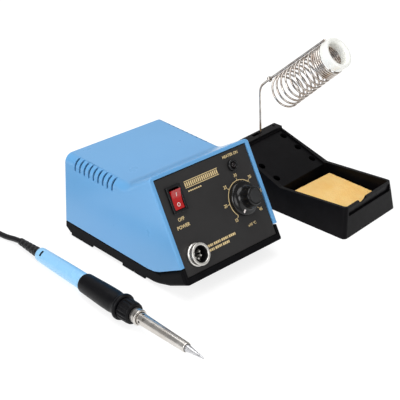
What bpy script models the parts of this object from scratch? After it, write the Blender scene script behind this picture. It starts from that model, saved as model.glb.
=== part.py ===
"""Soldering iron station: a power unit, an iron stand with a wet sponge, and a pencil iron on its cord.

Sizes are in millimetres; make_object scales every mesh to metres. X runs to the power unit's right,
Y to its back and Z up, with the origin on the bench under the middle of the three pieces.
"""

import math

import bmesh
import bpy
from mathutils import Matrix, Vector

MM = 0.001
GAP = 0.3

# Power unit
UNIT_WIDTH = 120.0
UNIT_BACK = 76.0
UNIT_TOP = 80.5
LIP_TOP = 98.8
PANEL_FOOT = (-78.0, 22.4)
PANEL_LEAN = 31.4
PANEL_WIDTH = 111.2
PANEL_HEIGHT = 86.2
COVER_WALL = 2.0
EDGE_RADIUS = 8.0
LIP_RADIUS = 4.5
BEYOND_PANEL = -90.0
RAMP_START = 3.4
RAMP_ANGLE = 33.0
RAMP_FILLET = 22.0
SEAM = [(UNIT_BACK, 13.2), (-33.0, 12.4), (-41.0, 13.4), (-48.0, 16.0), (-73.4, 30.0)]
CORNER_BEVEL = 3.2
BASE_UNDERSIDE = [(-81.0, 17.5), (-60.0, 7.2), (-48.0, 3.5), (70.0, 3.5), (UNIT_BACK, 7.5)]
SLOT_COUNT = 9
SLOT_PITCH = 6.1
SLOT_FIRST = 13.4
SLOT_WIDTH = 2.0
SLOT_OVER_TOP = 6.5
SLOT_DOWN_SIDE = 11.5
FOOT_PLACES = [(-50, -28), (50, -28), (-50, 56), (50, 56)]
SCREW_PLACES = [(-50, -8), (50, -8), (-50, 36), (50, 36)]

# Places on the front panel: across from its middle, and up from its lower edge
SWITCH_AT = (-39.0, 64.8)
SOCKET_AT = (-38.7, 15.0)
LED_AT = (32.4, 72.0)
DIAL_AT = (32.0, 41.5)
ROCKER_TILT = 10.0
PANEL_FACE = -1.0
PANEL_BACK = -3.0
PIN_CIRCLE = 3.7

# Rear panel
REAR_PANEL = (70.0, 72.0)
INLET_AT = (-28.0, 34.0)
FUSE_AT = (20.0, 34.0)

# Stand, measured from its front left corner and turned on the bench
STAND_AT = (122.9, -103.3)
STAND_TURN = 4.6
STAND_WIDTH = 88.0
STAND_DEPTH = 148.0
STAND_FLARE = 0.172
WELL = (8.0, 80.0, 7.0, 80.5, 6.0)
RIM_FRONT = (5.2, 29.5)
RIM_LOW = (80.0, 23.5)
RIM_HIGH = (136.0, 42.5)
BLOCK_TOP = 45.0
HOLE_COLUMNS = (14.5, 73.5)
HOLE_ROWS = (91.5, 110.0, 128.5)
HOLE_RADIUS = 3.5
SPONGE_SIZE = (60.0, 60.0, 11.7)
SPONGE_AT = (43.5, 42.2)
SPONGE_TURN = -3.1
ROD_AT = (52.0, 142.0)
ROD_RADIUS = 1.1
SPARE_HOLE_OFFSET = 22.0
COIL_BASE = (117.2, 96.0)
COIL_RISE = 43.9
COIL_LENGTH = 70.5
COIL_RADII = (16.3, 15.0)
COIL_TILTS = (14.0, -5.0)
COIL_WIRE = 0.95
ROD_OUT = 18.8
OPEN_TURNS = 9.5
TIGHT_TURNS = 5
TIGHT_PITCH = 2.3
POINTS_PER_TURN = 13
COLLAR_LENGTH = 10.0
COLLAR_RADII = (10.8, 15.6)

# Iron, measured along its axis from the rear end of the handle
IRON_AT = (-107.5, 53.7, 6.95)
IRON_TURN = -2.8
IRON_TILT = 2.4
HANDLE_END = 64.0
GRIP_END = 117.0
GUARD_NUT_END = 130.0
BARREL_NUT_END = 137.5
BARREL_END = 193.0
TIP_END = 212.0
BOOT_LENGTH = 30.0

# Cord, all of it on the bench
CORD_RADIUS = 2.5
COIL_CENTRE = (-148.4, 143.0)
CORD_COIL = (19.9, 38.5, 0.1, 10.6)
CORD_ROUTE = [(-106.1, 84.6, 5.6), (-106.6, 93.0, 4.4), (-108.0, 102.0, 3.1), (-109.2, 114.0, 2.7),
              (-108.4, 127.0, 2.7), (-107.1, 141.0, 2.7)]
TAIL_ROUTE = [(-188.2, 131.6, 7.9), (-186.8, 122.6, 8.0), (-183.4, 112.6, 8.1), (-181.2, 104.9, 8.2)]
PLUG_AT = (-181.0, 104.2, 8.3)
PLUG_TURN = 14.0

WHITE = (0.86, 0.86, 0.83)
BLACK = (0.016, 0.016, 0.019)
BLUE = (0.21, 0.47, 0.80)
PALE_BLUE = (0.36, 0.67, 0.90)
CHARCOAL = (0.042, 0.042, 0.043)
STEEL = (0.62, 0.61, 0.58)
RED = (0.60, 0.012, 0.012)

# The origin is on the bench, under the middle of everything but the loose cord
ORIGIN_SHIFT = (-42.8, 37.0, 0.0)

PARTS = "soldering_iron_station"
CUTTERS = "cutters"

collections = {}
materials = {}
roots = {}


def collection(name):
    if name not in collections:
        collections[name] = bpy.data.collections.new(name)
        bpy.context.scene.collection.children.link(collections[name])
    return collections[name]


def material(name, colour, roughness=0.45, metallic=0.0):
    if name not in materials:
        made = bpy.data.materials.new(name)
        made.use_nodes = True
        shader = made.node_tree.nodes["Principled BSDF"]
        shader.inputs["Base Color"].default_value = (*colour, 1.0)
        shader.inputs["Roughness"].default_value = roughness
        shader.inputs["Metallic"].default_value = metallic
        materials[name] = made
    return materials[name]


def frame_empty(name, at, turn=(0.0, 0.0, 0.0)):
    """An empty that a group of parts is placed on; turn is in degrees."""
    empty = bpy.data.objects.new(name, None)
    empty.parent = roots.get("root")
    empty.location = Vector(at) * MM
    empty.rotation_euler = [math.radians(angle) for angle in turn]
    collection(PARTS).objects.link(empty)
    return empty


def make_object(name, shape, finish, parent=None, at=(0, 0, 0), turn=(0, 0, 0), group=PARTS):
    """An object from a bmesh in millimetres."""
    bmesh.ops.scale(shape, vec=(MM, MM, MM), verts=shape.verts)
    mesh = bpy.data.meshes.new(name)
    shape.to_mesh(mesh)
    shape.free()
    made = bpy.data.objects.new(name, mesh)
    made.location = Vector(at) * MM
    made.rotation_euler = [math.radians(angle) for angle in turn]
    made.parent = parent or roots["root"]
    if finish:
        mesh.materials.append(finish)
        mesh.shade_smooth()
        mesh.set_sharp_from_angle(angle=math.radians(32))
    collection(group).objects.link(made)
    return made


def box(low, high, shape=None):
    shape = shape or bmesh.new()
    low, high = Vector(low), Vector(high)
    size = Matrix.Diagonal((*(high - low), 1.0))
    bmesh.ops.create_cube(shape, size=1.0, matrix=Matrix.Translation((low + high) / 2) @ size)
    return shape


def rod(radius, low, high, at=(0, 0), segments=24, shape=None):
    """A cylinder along Z."""
    shape = shape or bmesh.new()
    place = Matrix.Translation((at[0], at[1], (low + high) / 2))
    bmesh.ops.create_cone(shape, cap_ends=True, segments=segments, radius1=radius, radius2=radius,
                          depth=high - low, matrix=place)
    return shape


def prism(outline, low, high, axis="X"):
    """A flat outline drawn out along one axis: the outline is (y, z) along X and (x, y) along Z."""
    shape = bmesh.new()
    if axis == "X":
        corners = [shape.verts.new((low, y, z)) for y, z in outline]
        drawn = Vector((high - low, 0, 0))
    else:
        corners = [shape.verts.new((x, y, low)) for x, y in outline]
        drawn = Vector((0, 0, high - low))
    face = shape.faces.new(corners)
    moved = bmesh.ops.extrude_face_region(shape, geom=[face])["geom"]
    bmesh.ops.translate(shape, vec=drawn, verts=[v for v in moved if isinstance(v, bmesh.types.BMVert)])
    bmesh.ops.recalc_face_normals(shape, faces=shape.faces)
    return shape


def bevel_edges(shape, wanted, width, segments=1):
    edges = [edge for edge in shape.edges if wanted(edge.verts[0].co, edge.verts[1].co)]
    bmesh.ops.bevel(shape, geom=edges, offset=width, segments=segments, profile=0.5, affect="EDGES")
    return shape


def turned(name, profile, finish, parent=None, at=(0, 0, 0), turn=(0, 0, 0), steps=32):
    """A turned piece; its profile, (radius, height) down the outer side, closes on itself or on the axis."""
    shape = bmesh.new()
    points = [shape.verts.new((radius, 0, height)) for radius, height in profile]
    for first, second in zip(points, points[1:]):
        shape.edges.new((first, second))
    if profile[0][0] > 0 or profile[-1][0] > 0:
        shape.edges.new((points[-1], points[0]))
    made = make_object(name, shape, finish, parent, at, turn)
    screw = made.modifiers.new("Turn", "SCREW")
    screw.steps = screw.render_steps = steps
    screw.use_merge_vertices = True
    screw.merge_threshold = 0.00001
    screw.use_smooth_shade = True
    return made


def cutter(name, shape, parent=None, at=(0, 0, 0), turn=(0, 0, 0)):
    made = make_object(name, shape, None, parent, at, turn, group=CUTTERS)
    made.hide_render = True
    made.display_type = "WIRE"
    return made


def combine(target, tool, operation="DIFFERENCE"):
    boolean = target.modifiers.new(tool.name, "BOOLEAN")
    boolean.operation = operation
    boolean.solver = "EXACT"
    boolean.object = tool
    return target


def smooth_route(route, spacing):
    """Points about one spacing apart on a smooth curve through the route's own points."""
    route = [Vector(point) for point in route]
    ends = [2 * route[0] - route[1], *route, 2 * route[-1] - route[-2]]
    found = []
    for before, start, end, after in zip(ends, ends[1:], ends[2:], ends[3:]):
        count = max(1, round((end - start).length / spacing))
        once = end - before
        twice = 2 * before - 5 * start + 4 * end - after
        thrice = 3 * start - before - 3 * end + after
        for step in range(count):
            t = step / count
            found.append(start + (once * t + twice * t ** 2 + thrice * t ** 3) / 2)
    return [*found, route[-1]]


def wire(name, points, radius, finish, parent=None, resolution=2):
    curve = bpy.data.curves.new(name, "CURVE")
    curve.dimensions = "3D"
    curve.bevel_depth = radius * MM
    curve.bevel_resolution = resolution
    curve.use_fill_caps = True
    spline = curve.splines.new("POLY")
    spline.points.add(len(points) - 1)
    for point, place in zip(spline.points, points):
        point.co = (*(Vector(place) * MM), 1.0)
    made = bpy.data.objects.new(name, curve)
    made.parent = parent or roots["root"]
    curve.materials.append(finish)
    collection(PARTS).objects.link(made)
    return made


def clear_scene():
    for old in list(bpy.data.objects):
        bpy.data.objects.remove(old, do_unlink=True)


# ---------------------------------------------------------------- power unit

def fillet_end():
    """Where the fillet behind the ramp runs into the straight ramp."""
    return RAMP_START - RAMP_FILLET * math.sin(math.radians(RAMP_ANGLE))


def cover_top(y):
    """Height of the cover's top: flat behind, then a fillet and a straight ramp up to the lip."""
    slope = math.radians(RAMP_ANGLE)
    if y >= RAMP_START:
        return UNIT_TOP
    if y >= fillet_end():
        return UNIT_TOP + RAMP_FILLET - math.sqrt(RAMP_FILLET ** 2 - (RAMP_START - y) ** 2)
    height = UNIT_TOP + RAMP_FILLET * (1 - math.cos(slope)) + (fillet_end() - y) * math.tan(slope)
    return min(height, LIP_TOP)


def arch(y, inset):
    """One cross-section of the cover, from its lower left corner over the top to the lower right one."""
    half = UNIT_WIDTH / 2 - inset
    top = cover_top(y) - inset
    rise = (cover_top(y) - UNIT_TOP) / (LIP_TOP - UNIT_TOP)
    radius = EDGE_RADIUS + rise * (LIP_RADIUS - EDGE_RADIUS) - inset
    section = [(-half, -5.0)]
    for side in (-1, 1):
        turns = range(6) if side < 0 else range(5, -1, -1)
        for step in turns:
            angle = math.radians(90 * step / 5)
            across = half - radius + radius * math.cos(angle)
            section.append((side * across, top - radius + radius * math.sin(angle)))
    section.append((half, -5.0))
    return [(x, y, z) for x, z in section]


def cover_solid(inset, back, depth_in):
    """The cover's outer form, or the space inside it, cut off parallel to the front panel."""
    fillet = [RAMP_START + (fillet_end() - RAMP_START) * step / 4 for step in range(5)]
    lip = fillet_end() - (LIP_TOP - cover_top(fillet_end())) / math.tan(math.radians(RAMP_ANGLE))
    stations = [back, *fillet, lip, BEYOND_PANEL]
    shape = bmesh.new()
    rings = [[shape.verts.new(point) for point in arch(y, inset)] for y in stations]
    for ring, following in zip(rings, rings[1:]):
        for k in range(len(ring)):
            other = (k + 1) % len(ring)
            shape.faces.new((ring[k], ring[other], following[other], following[k]))
    shape.faces.new(rings[0])
    shape.faces.new(list(reversed(rings[-1])))
    bmesh.ops.recalc_face_normals(shape, faces=shape.faces)
    lean = math.radians(PANEL_LEAN)
    outward = Vector((0, -math.cos(lean), math.sin(lean)))
    plane = Vector((0, *PANEL_FOOT)) - outward * depth_in
    cut = bmesh.ops.bisect_plane(shape, geom=[*shape.verts, *shape.edges, *shape.faces], plane_co=plane,
                                 plane_no=outward, clear_outer=True)
    rim = [edge for edge in cut["geom_cut"] if isinstance(edge, bmesh.types.BMEdge)]
    bmesh.ops.holes_fill(shape, edges=rim)
    bmesh.ops.recalc_face_normals(shape, faces=shape.faces)
    return shape


def make_cover(panel):
    cover = make_object("top_cover", cover_solid(0.0, UNIT_BACK, 0.0), material("cover_blue", BLUE, 0.32))
    combine(cover, cutter("cover_inside", cover_solid(COVER_WALL, UNIT_BACK + 10, 3.6)))
    behind = UNIT_BACK + 10
    seam = [(y, z + GAP) for y, z in SEAM[1:]]
    below = [(behind, SEAM[0][1] + GAP), *seam, (BEYOND_PANEL, 42.0), (BEYOND_PANEL, -20.0), (behind, -20.0)]
    combine(cover, cutter("below_seam", prism(below, -UNIT_WIDTH, UNIT_WIDTH)))
    opening = box((-PANEL_WIDTH / 2, -30, -12), (PANEL_WIDTH / 2, PANEL_HEIGHT, 12))
    combine(cover, cutter("panel_opening", opening, panel))
    slots = bmesh.new()
    for side in (-1, 1):
        for k in range(SLOT_COUNT):
            y = SLOT_FIRST + k * SLOT_PITCH
            low_x, high_x = sorted((side * (UNIT_WIDTH / 2 - SLOT_OVER_TOP), side * (UNIT_WIDTH / 2 + 5)))
            low = (low_x, y - SLOT_WIDTH / 2, UNIT_TOP - SLOT_DOWN_SIDE)
            box(low, (high_x, y + SLOT_WIDTH / 2, UNIT_TOP + 5), slots)
    combine(cover, cutter("vent_slots", slots))


def is_front_corner(a, b):
    """Whether an edge of the base runs down beside the panel, or from there back along the underside."""
    return abs(a.x - b.x) < 1 and max(a.y, b.y) < -40 and min(a.z, b.z) < BASE_UNDERSIDE[0][1] + 1


def make_base(panel):
    black = material("base_black", BLACK, 0.5)
    outline = [*[(y, z - GAP) for y, z in SEAM], *BASE_UNDERSIDE]
    shape = bevel_edges(prism(outline, -UNIT_WIDTH / 2, UNIT_WIDTH / 2), is_front_corner, CORNER_BEVEL)
    base = make_object("base_tray", shape, black)
    inside = [(73.5, 40.0), (73.5, 6.0), (-47.0, 6.0), (-72.5, 17.0), (-74.3, 20.5), (-62.4, 40.0)]
    combine(base, cutter("tray_inside", prism(inside, -57.5, 57.5)))
    front = box((-PANEL_WIDTH / 2, 0.0, -12), (PANEL_WIDTH / 2, 40, 12))
    combine(base, cutter("tray_front", front, panel))
    holes = bmesh.new()
    for place in SCREW_PLACES:
        rod(1.6, 0, 10, place, 16, holes)
    combine(base, cutter("screw_holes", holes))
    for k, place in enumerate(FOOT_PLACES):
        turned(f"foot_{k + 1}", [(0, 3.2), (7.0, 3.2), (7.5, 1.0), (6.5, 0.0), (0, 0.0)],
               material("rubber", (0.02, 0.02, 0.02), 0.8), at=(*place, 0), steps=20)
    for k, place in enumerate(SCREW_PLACES):
        screw = turned(f"case_screw_{k + 1}",
                       [(0, 9.5), (1.3, 9.5), (1.3, 3.2), (2.9, 3.2), (2.9, 2.2), (2.2, 1.4), (0, 1.4)],
                       material("screw_steel", STEEL, 0.35, 1.0), at=(*place, 0), steps=16)
        cross = box((-1.8, -0.35, 0.5), (1.8, 0.35, 2.2))
        combine(screw, cutter(f"screw_slot_{k + 1}", cross, at=(*place, 0)))


def make_front_panel(panel):
    half = PANEL_WIDTH / 2 - GAP
    plate = box((-half, GAP, PANEL_BACK), (half, PANEL_HEIGHT - GAP, PANEL_FACE))
    plate = make_object("front_panel", plate, material("panel_charcoal", CHARCOAL, 0.42), panel)
    holes = bmesh.new()
    box((SWITCH_AT[0] - 6.9, SWITCH_AT[1] - 10.9, -8), (SWITCH_AT[0] + 6.9, SWITCH_AT[1] + 10.9, 8), holes)
    rod(8.0, -8, 8, SOCKET_AT, 32, holes)
    rod(4.3, -8, 8, LED_AT, 24, holes)
    rod(5.0, -8, 8, DIAL_AT, 24, holes)
    combine(plate, cutter("panel_holes", holes, panel))


def make_switch(panel):
    """A rocker switch: the rocker's hinge axis runs across the panel, in the plane of its front face."""
    black = material("switch_black", (0.012, 0.012, 0.013), 0.35)
    x, v = SWITCH_AT
    body = box((x - 8.1, v - 11.7, PANEL_FACE + GAP), (x + 8.1, v + 11.7, 1.2))
    bevel_edges(body, lambda a, b: a.z > 1 and b.z > 1, 0.7, 2)
    housing = make_object("switch_housing", body, black, panel)
    behind = box((x - 6.6, v - 10.6, -17.0), (x + 6.6, v + 10.6, 0.0))
    combine(housing, cutter("switch_body", behind, panel), "UNION")
    pocket = box((x - 5.75, v - 9.5, -9.8), (x + 5.75, v + 9.5, 5.0))
    combine(housing, cutter("switch_pocket", pocket, panel))
    side = [(-8.7, 3.1), (-4.4, 2.1), (0, 1.8), (4.4, 2.1), (8.7, 3.1), (7.0, -3.0), (2.5, -6.5),
            (-2.5, -6.5), (-7.0, -3.0)]
    make_object("power_rocker", prism(side, -5.35, 5.35), material("rocker_red", RED, 0.25), panel,
                at=(x, v, PANEL_FACE), turn=(ROCKER_TILT, 0, 0))


def make_socket(panel):
    chrome = material("plated", (0.75, 0.74, 0.71), 0.2, 1.0)
    place = (*SOCKET_AT, 0)
    shell = [(9.4, 6.2), (9.8, 5.8), (9.8, 5.0), (9.3, 4.5), (9.3, 1.3), (10.1, 0.7), (10.1, -0.7),
             (7.6, -0.7), (7.6, -12.0), (6.9, -12.0), (6.9, -3.8), (7.4, -3.3), (7.4, 5.8), (7.8, 6.2)]
    turned("socket_shell", shell, chrome, panel, place, steps=28)
    turned("socket_insert", [(0, -4.0), (6.5, -4.0), (6.5, -11.0), (0, -11.0)],
           material("insert_black", BLACK, 0.6), panel, place, steps=24)
    nut = rod(11.0, -6.6, PANEL_BACK - GAP, segments=6)
    nut = make_object("socket_nut", nut, chrome, panel, place)
    combine(nut, cutter("socket_nut_bore", rod(7.95, -9, 0, segments=32), panel, place))
    pin = [(0, 1.4), (0.5, 1.2), (0.8, 0.7), (0.8, -3.7), (0, -3.7)]
    for k in range(5):
        angle = math.radians(90 + 60 * (k - 2))
        across, up = PIN_CIRCLE * math.cos(angle), -PIN_CIRCLE * math.sin(angle)
        at = (SOCKET_AT[0] + across, SOCKET_AT[1] + up, 0)
        turned(f"socket_pin_{k + 1}", pin, chrome, panel, at, steps=12)


def make_light(panel):
    place = (*LED_AT, 0)
    bezel = [(4.6, 1.7), (5.2, 1.1), (5.2, -0.7), (4.0, -0.7), (4.0, -9.0), (3.0, -9.0), (3.0, 0.9),
             (3.6, 1.7)]
    turned("led_holder", bezel, material("holder_black", BLACK, 0.3), panel, place, steps=24)
    dome = [(0, 3.0), (1.3, 2.7), (2.2, 1.8), (2.6, 0.6), (2.6, -7.0), (0, -7.0)]
    turned("led_lens", dome, material("led_red", (0.16, 0.01, 0.01), 0.1), panel, place, steps=24)


def make_dial(panel):
    """A potentiometer behind the panel, its shaft, and the skirted knob on it."""
    place = (*DIAL_AT, 0)
    metal = material("pot_metal", STEEL, 0.35, 1.0)
    body = [(4.5, 1.8), (4.5, -3.4), (8.6, -3.4), (8.6, -14.0), (0, -14.0), (0, -12.2), (3.3, -12.2),
            (3.3, 1.8)]
    turned("pot_body", body, metal, panel, place, steps=28)
    nut = make_object("pot_nut", rod(6.6, -0.7, 1.5, segments=6), metal, panel, place)
    combine(nut, cutter("pot_nut_bore", rod(4.85, -5, 5, segments=28), panel, place))
    turned("pot_shaft", [(0, 10.6), (3.0, 10.6), (3.0, -11.8), (0, -11.8)], metal, panel, place, steps=20)
    knob = [(0, 15.4), (7.2, 15.4), (8.2, 14.8), (8.6, 13.0), (8.9, 8.0), (9.6, 5.6), (11.2, 3.8),
            (13.6, 2.9), (14.6, 2.3), (15.5, 1.0), (15.5, -0.3), (12.0, -0.3), (9.5, 2.2), (3.3, 2.2),
            (3.3, 11.0), (0, 11.0)]
    turned("temperature_knob", knob, material("knob_black", BLACK, 0.28), panel, place, steps=30)


def make_rear_panel():
    near, far = REAR_PANEL
    half = UNIT_WIDTH / 2 - COVER_WALL - 0.8
    plate = box((-half, near, 6.4), (half, far, UNIT_TOP - COVER_WALL - GAP))
    plate = make_object("rear_panel", plate, material("rear_black", (0.03, 0.03, 0.032), 0.5))
    bevel = plate.modifiers.new("Corners", "BEVEL")
    bevel.width = 5.8 * MM
    bevel.segments = 3
    bevel.limit_method = "WEIGHT"
    weights = plate.data.attributes.new("bevel_weight_edge", "FLOAT", "EDGE")
    for edge in plate.data.edges:
        ends = [plate.data.vertices[k].co for k in edge.vertices]
        upper = all(end.z > 0.07 for end in ends)
        weights.data[edge.index].value = 1.0 if upper and abs(ends[0].x - ends[1].x) < 0.001 else 0.0
    x, z = INLET_AT
    holes = box((x - 14.0, 60, z - 10.4), (x + 14.0, 80, z + 10.4))
    combine(plate, cutter("inlet_hole", holes))
    turn = (-90, 0, 0)
    fuse = (FUSE_AT[0], far, FUSE_AT[1])
    combine(plate, cutter("fuse_hole", rod(6.6, -10, 10, segments=28), at=fuse, turn=turn))
    inlet = make_object("mains_inlet", box((x - 16, far + GAP, z - 12.5), (x + 16, far + 3.0, z + 12.5)),
                        material("inlet_black", BLACK, 0.45))
    behind = box((x - 13.7, 52, z - 10.1), (x + 13.7, far + 1.0, z + 10.1))
    combine(inlet, cutter("inlet_body", behind), "UNION")
    combine(inlet, cutter("inlet_recess", box((x - 12.3, 56, z - 8.4), (x + 12.3, 80, z + 8.4))))
    blades = bmesh.new()
    for across, up in ((-7, -1.5), (0, 1.5), (7, -1.5)):
        box((x + across - 1.0, 54, z + up - 2.0), (x + across + 1.0, 67, z + up + 2.0), blades)
    combine(inlet, cutter("inlet_blades", blades), "UNION")
    holder = [(8.2, 2.4), (8.2, GAP), (6.3, GAP), (6.3, -24.0), (0, -24.0), (0, -22.6), (4.6, -22.6),
              (4.6, 2.4)]
    turned("fuse_holder", holder, material("inlet_black", BLACK, 0.45), at=fuse, turn=turn, steps=28)
    cap = [(0, 7.6), (5.6, 7.6), (6.2, 7.0), (6.2, 2.7), (4.2, 2.7), (4.2, -4.0), (0, -4.0)]
    cap = turned("fuse_cap", cap, material("inlet_black", BLACK, 0.45), at=fuse, turn=turn, steps=28)
    combine(cap, cutter("cap_slot", box((-5.0, -0.6, 6.0), (5.0, 0.6, 9)), at=fuse, turn=turn))


def make_insides():
    """The transformer, its winding, the control board and the heat sink inside the power unit."""
    laminations = material("core_steel", (0.2, 0.2, 0.2), 0.5, 1.0)
    core = make_object("transformer_core", box((-48, -14, 6.6), (-2, 34, 46)), laminations)
    windows = bmesh.new()
    box((-41, -30, 14), (-32, 50, 38.6), windows)
    box((-18, -30, 14), (-9, 50, 38.6), windows)
    combine(core, cutter("core_windows", windows))
    winding = make_object("transformer_winding", box((-40.6, -21, 14.4), (-9.4, 41, 38.2)),
                          material("winding_amber", (0.55, 0.28, 0.05), 0.4))
    combine(winding, cutter("winding_bore", box((-32.3, -14.4, 0), (-17.7, 34.4, 60))))
    board = box((10, -34, 10.0), (54, 62, 11.6))
    make_object("circuit_board", board, material("board_green", (0.02, 0.16, 0.06), 0.4))
    aluminium = material("sink_aluminium", STEEL, 0.4, 1.0)
    fins = make_object("heatsink", box((16, 20, 12.0), (46, 24, 36.0)), aluminium)
    tools = bmesh.new()
    for k in range(4):
        box((18 + 8 * k, 22, 12.0), (20 + 8 * k, 34, 36.0), tools)
    combine(fins, cutter("sink_fins", tools), "UNION")


# ---------------------------------------------------------------- stand

def rim_height(y):
    """Height of the stand's side walls along its depth."""
    share = (y - RIM_LOW[0]) / (RIM_HIGH[0] - RIM_LOW[0])
    return RIM_LOW[1] + share * (RIM_HIGH[1] - RIM_LOW[1])


def make_stand_body(stand):
    middle = STAND_WIDTH / 2
    side = [(0, 0), (3.2, 19.0), (5.2, 20.4), RIM_FRONT, RIM_LOW, RIM_HIGH, (RIM_HIGH[0], BLOCK_TOP),
            (STAND_DEPTH - 2.0, BLOCK_TOP), (STAND_DEPTH, 0)]
    shape = prism(side, 0, STAND_WIDTH)
    for corner in shape.verts:
        half = middle - STAND_FLARE * corner.co.z
        corner.co.x = middle + math.copysign(half, corner.co.x - middle)
    bevel_edges(shape, lambda a, b: abs(a.x - b.x) < 4 and max(a.y, b.y) < 6 and abs(a.z - b.z) > 1, 4.5, 2)
    black = material("stand_black", BLACK, 0.5)
    body = make_object("stand_body", shape, black, stand)
    left, right, front, back, floor = WELL
    combine(body, cutter("sponge_well", box((left, front, floor), (right, back, 60)), stand))
    under_low, under_high = rim_height(83.5) - 3.8, rim_height(133) - 3.8
    hollow = [(5.5, -1), (5.5, 4.2), (83.5, 4.2), (83.5, under_low), (133, under_high), (145, under_high),
              (145, -1)]
    combine(body, cutter("stand_hollow", prism(hollow, 8.5, STAND_WIDTH - 8.5), stand))
    dish = [(79.0, 60), (79.0, rim_height(79) - 1.5), (135.0, rim_height(135) - 1.5), (135.0, 60)]
    combine(body, cutter("slope_dish", prism(dish, 9.5, STAND_WIDTH - 9.5), stand))
    holes = bmesh.new()
    for x in HOLE_COLUMNS:
        for y in HOLE_ROWS:
            rod(HOLE_RADIUS, 0, 60, (x, y), 20, holes)
    rod(ROD_RADIUS + GAP, 30, 60, ROD_AT, 12, holes)
    rod(ROD_RADIUS + GAP, 30, 60, (ROD_AT[0] + SPARE_HOLE_OFFSET, ROD_AT[1]), 12, holes)
    combine(body, cutter("stand_holes", holes, stand))
    slot = box((ROD_AT[0] - 12.5, ROD_AT[1] - 1.8, BLOCK_TOP - 4), (ROD_AT[0] - 2.4, ROD_AT[1] + 1.8, 60))
    combine(body, cutter("block_slot", slot, stand))
    combine(body, cutter("rim_notch", rod(7.0, -3, 12, segments=24), stand, (33.0, 0, 32.5), (-90, 0, 0)))
    make_object("stand_base_plate", box((8.8, 5.8, 1.0), (STAND_WIDTH - 8.8, 144.6, 2.6)), black, stand)


def make_sponge(stand):
    wide, deep, high = SPONGE_SIZE
    shape = box((-wide / 2, -deep / 2, 0), (wide / 2, deep / 2, high))
    bevel_edges(shape, lambda a, b: True, 1.2)
    make_object("sponge", shape, material("sponge_yellow", (0.95, 0.55, 0.16), 0.9), stand,
                (*SPONGE_AT, WELL[4] + GAP), (0, 0, SPONGE_TURN))


def along_coil(s, out):
    """A point of the stand's middle plane: s along the coil's axis, out from it towards the back."""
    rise = math.radians(COIL_RISE)
    y = COIL_BASE[0] - s * math.cos(rise) + out * math.sin(rise)
    z = COIL_BASE[1] + s * math.sin(rise) + out * math.cos(rise)
    return (ROD_AT[0], y, z)


def coil_points():
    """The coil's wire: open turns from its lower end, then tight ones up to the collar."""
    rise = math.radians(COIL_RISE)
    axis = Vector((0, -math.cos(rise), math.sin(rise)))
    ridge = Vector((0, math.sin(rise), math.cos(rise)))
    across = Vector((1, 0, 0))
    base = Vector((ROD_AT[0], *COIL_BASE))
    tight_length = TIGHT_TURNS * TIGHT_PITCH
    open_length = COIL_LENGTH - tight_length
    points = []
    for k in range(round((OPEN_TURNS + TIGHT_TURNS) * POINTS_PER_TURN) + 1):
        turn = k / POINTS_PER_TURN
        if turn < OPEN_TURNS:
            s = open_length * turn / OPEN_TURNS
        else:
            s = open_length + TIGHT_PITCH * (turn - OPEN_TURNS)
        share = s / COIL_LENGTH
        radius = COIL_RADII[0] + share * (COIL_RADII[1] - COIL_RADII[0])
        out = ROD_OUT - ROD_RADIUS - COIL_WIRE - GAP - radius
        tilt = math.radians(COIL_TILTS[0] + share * (COIL_TILTS[1] - COIL_TILTS[0]))
        sideways = across * math.cos(tilt) + axis * math.sin(tilt)
        angle = 2 * math.pi * turn
        centre = base + axis * s + ridge * out
        points.append(centre + (ridge * math.cos(angle) + sideways * math.sin(angle)) * radius)
    return points


def make_holder(stand):
    """The bent rod up from the stand's block, its bead, and the coil with the collar on it."""
    nickel = material("nickel_wire", (0.56, 0.52, 0.47), 0.25, 1.0)
    x, y = ROD_AT
    route = [(x, y, 36.0), (x, y, 46.0), (x, y + 1.2, 60.0), (x, y + 2.8, 76.0), (x, y + 3.8, 87.0),
             (x, y + 3.5, 91.5), (x, y + 2.2, 95.0), (x, y - 0.6, 98.4), along_coil(-7.0, ROD_OUT),
             along_coil(20.0, ROD_OUT), along_coil(50.0, ROD_OUT), along_coil(74.5, ROD_OUT)]
    wire("holder_rod", smooth_route(route, 6.0), ROD_RADIUS, nickel, stand, 2)
    bead_at = along_coil(-7.0, ROD_OUT)
    turned("rod_bead", [(1.7, 1.6), (2.5, 1.0), (2.8, 0.0), (2.5, -1.0), (1.7, -1.6)], nickel, stand, bead_at,
           (90 - COIL_RISE, 0, 0), steps=16)
    wire("holder_coil", coil_points(), COIL_WIRE, nickel, stand, 1)
    inner, outer = COLLAR_RADII
    ring = [(outer - 0.8, COLLAR_LENGTH), (outer, COLLAR_LENGTH - 0.8), (outer, 0.8), (outer - 0.8, 0),
            (inner, 0), (inner, COLLAR_LENGTH - 2.2), (inner + 1.6, COLLAR_LENGTH)]
    turned("holder_collar", ring, material("collar_white", WHITE, 0.35), stand,
           along_coil(COIL_LENGTH + COIL_WIRE + GAP, ROD_OUT - ROD_RADIUS - GAP - outer),
           (90 - COIL_RISE, 0, 0), steps=28)


# ---------------------------------------------------------------- iron

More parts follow.
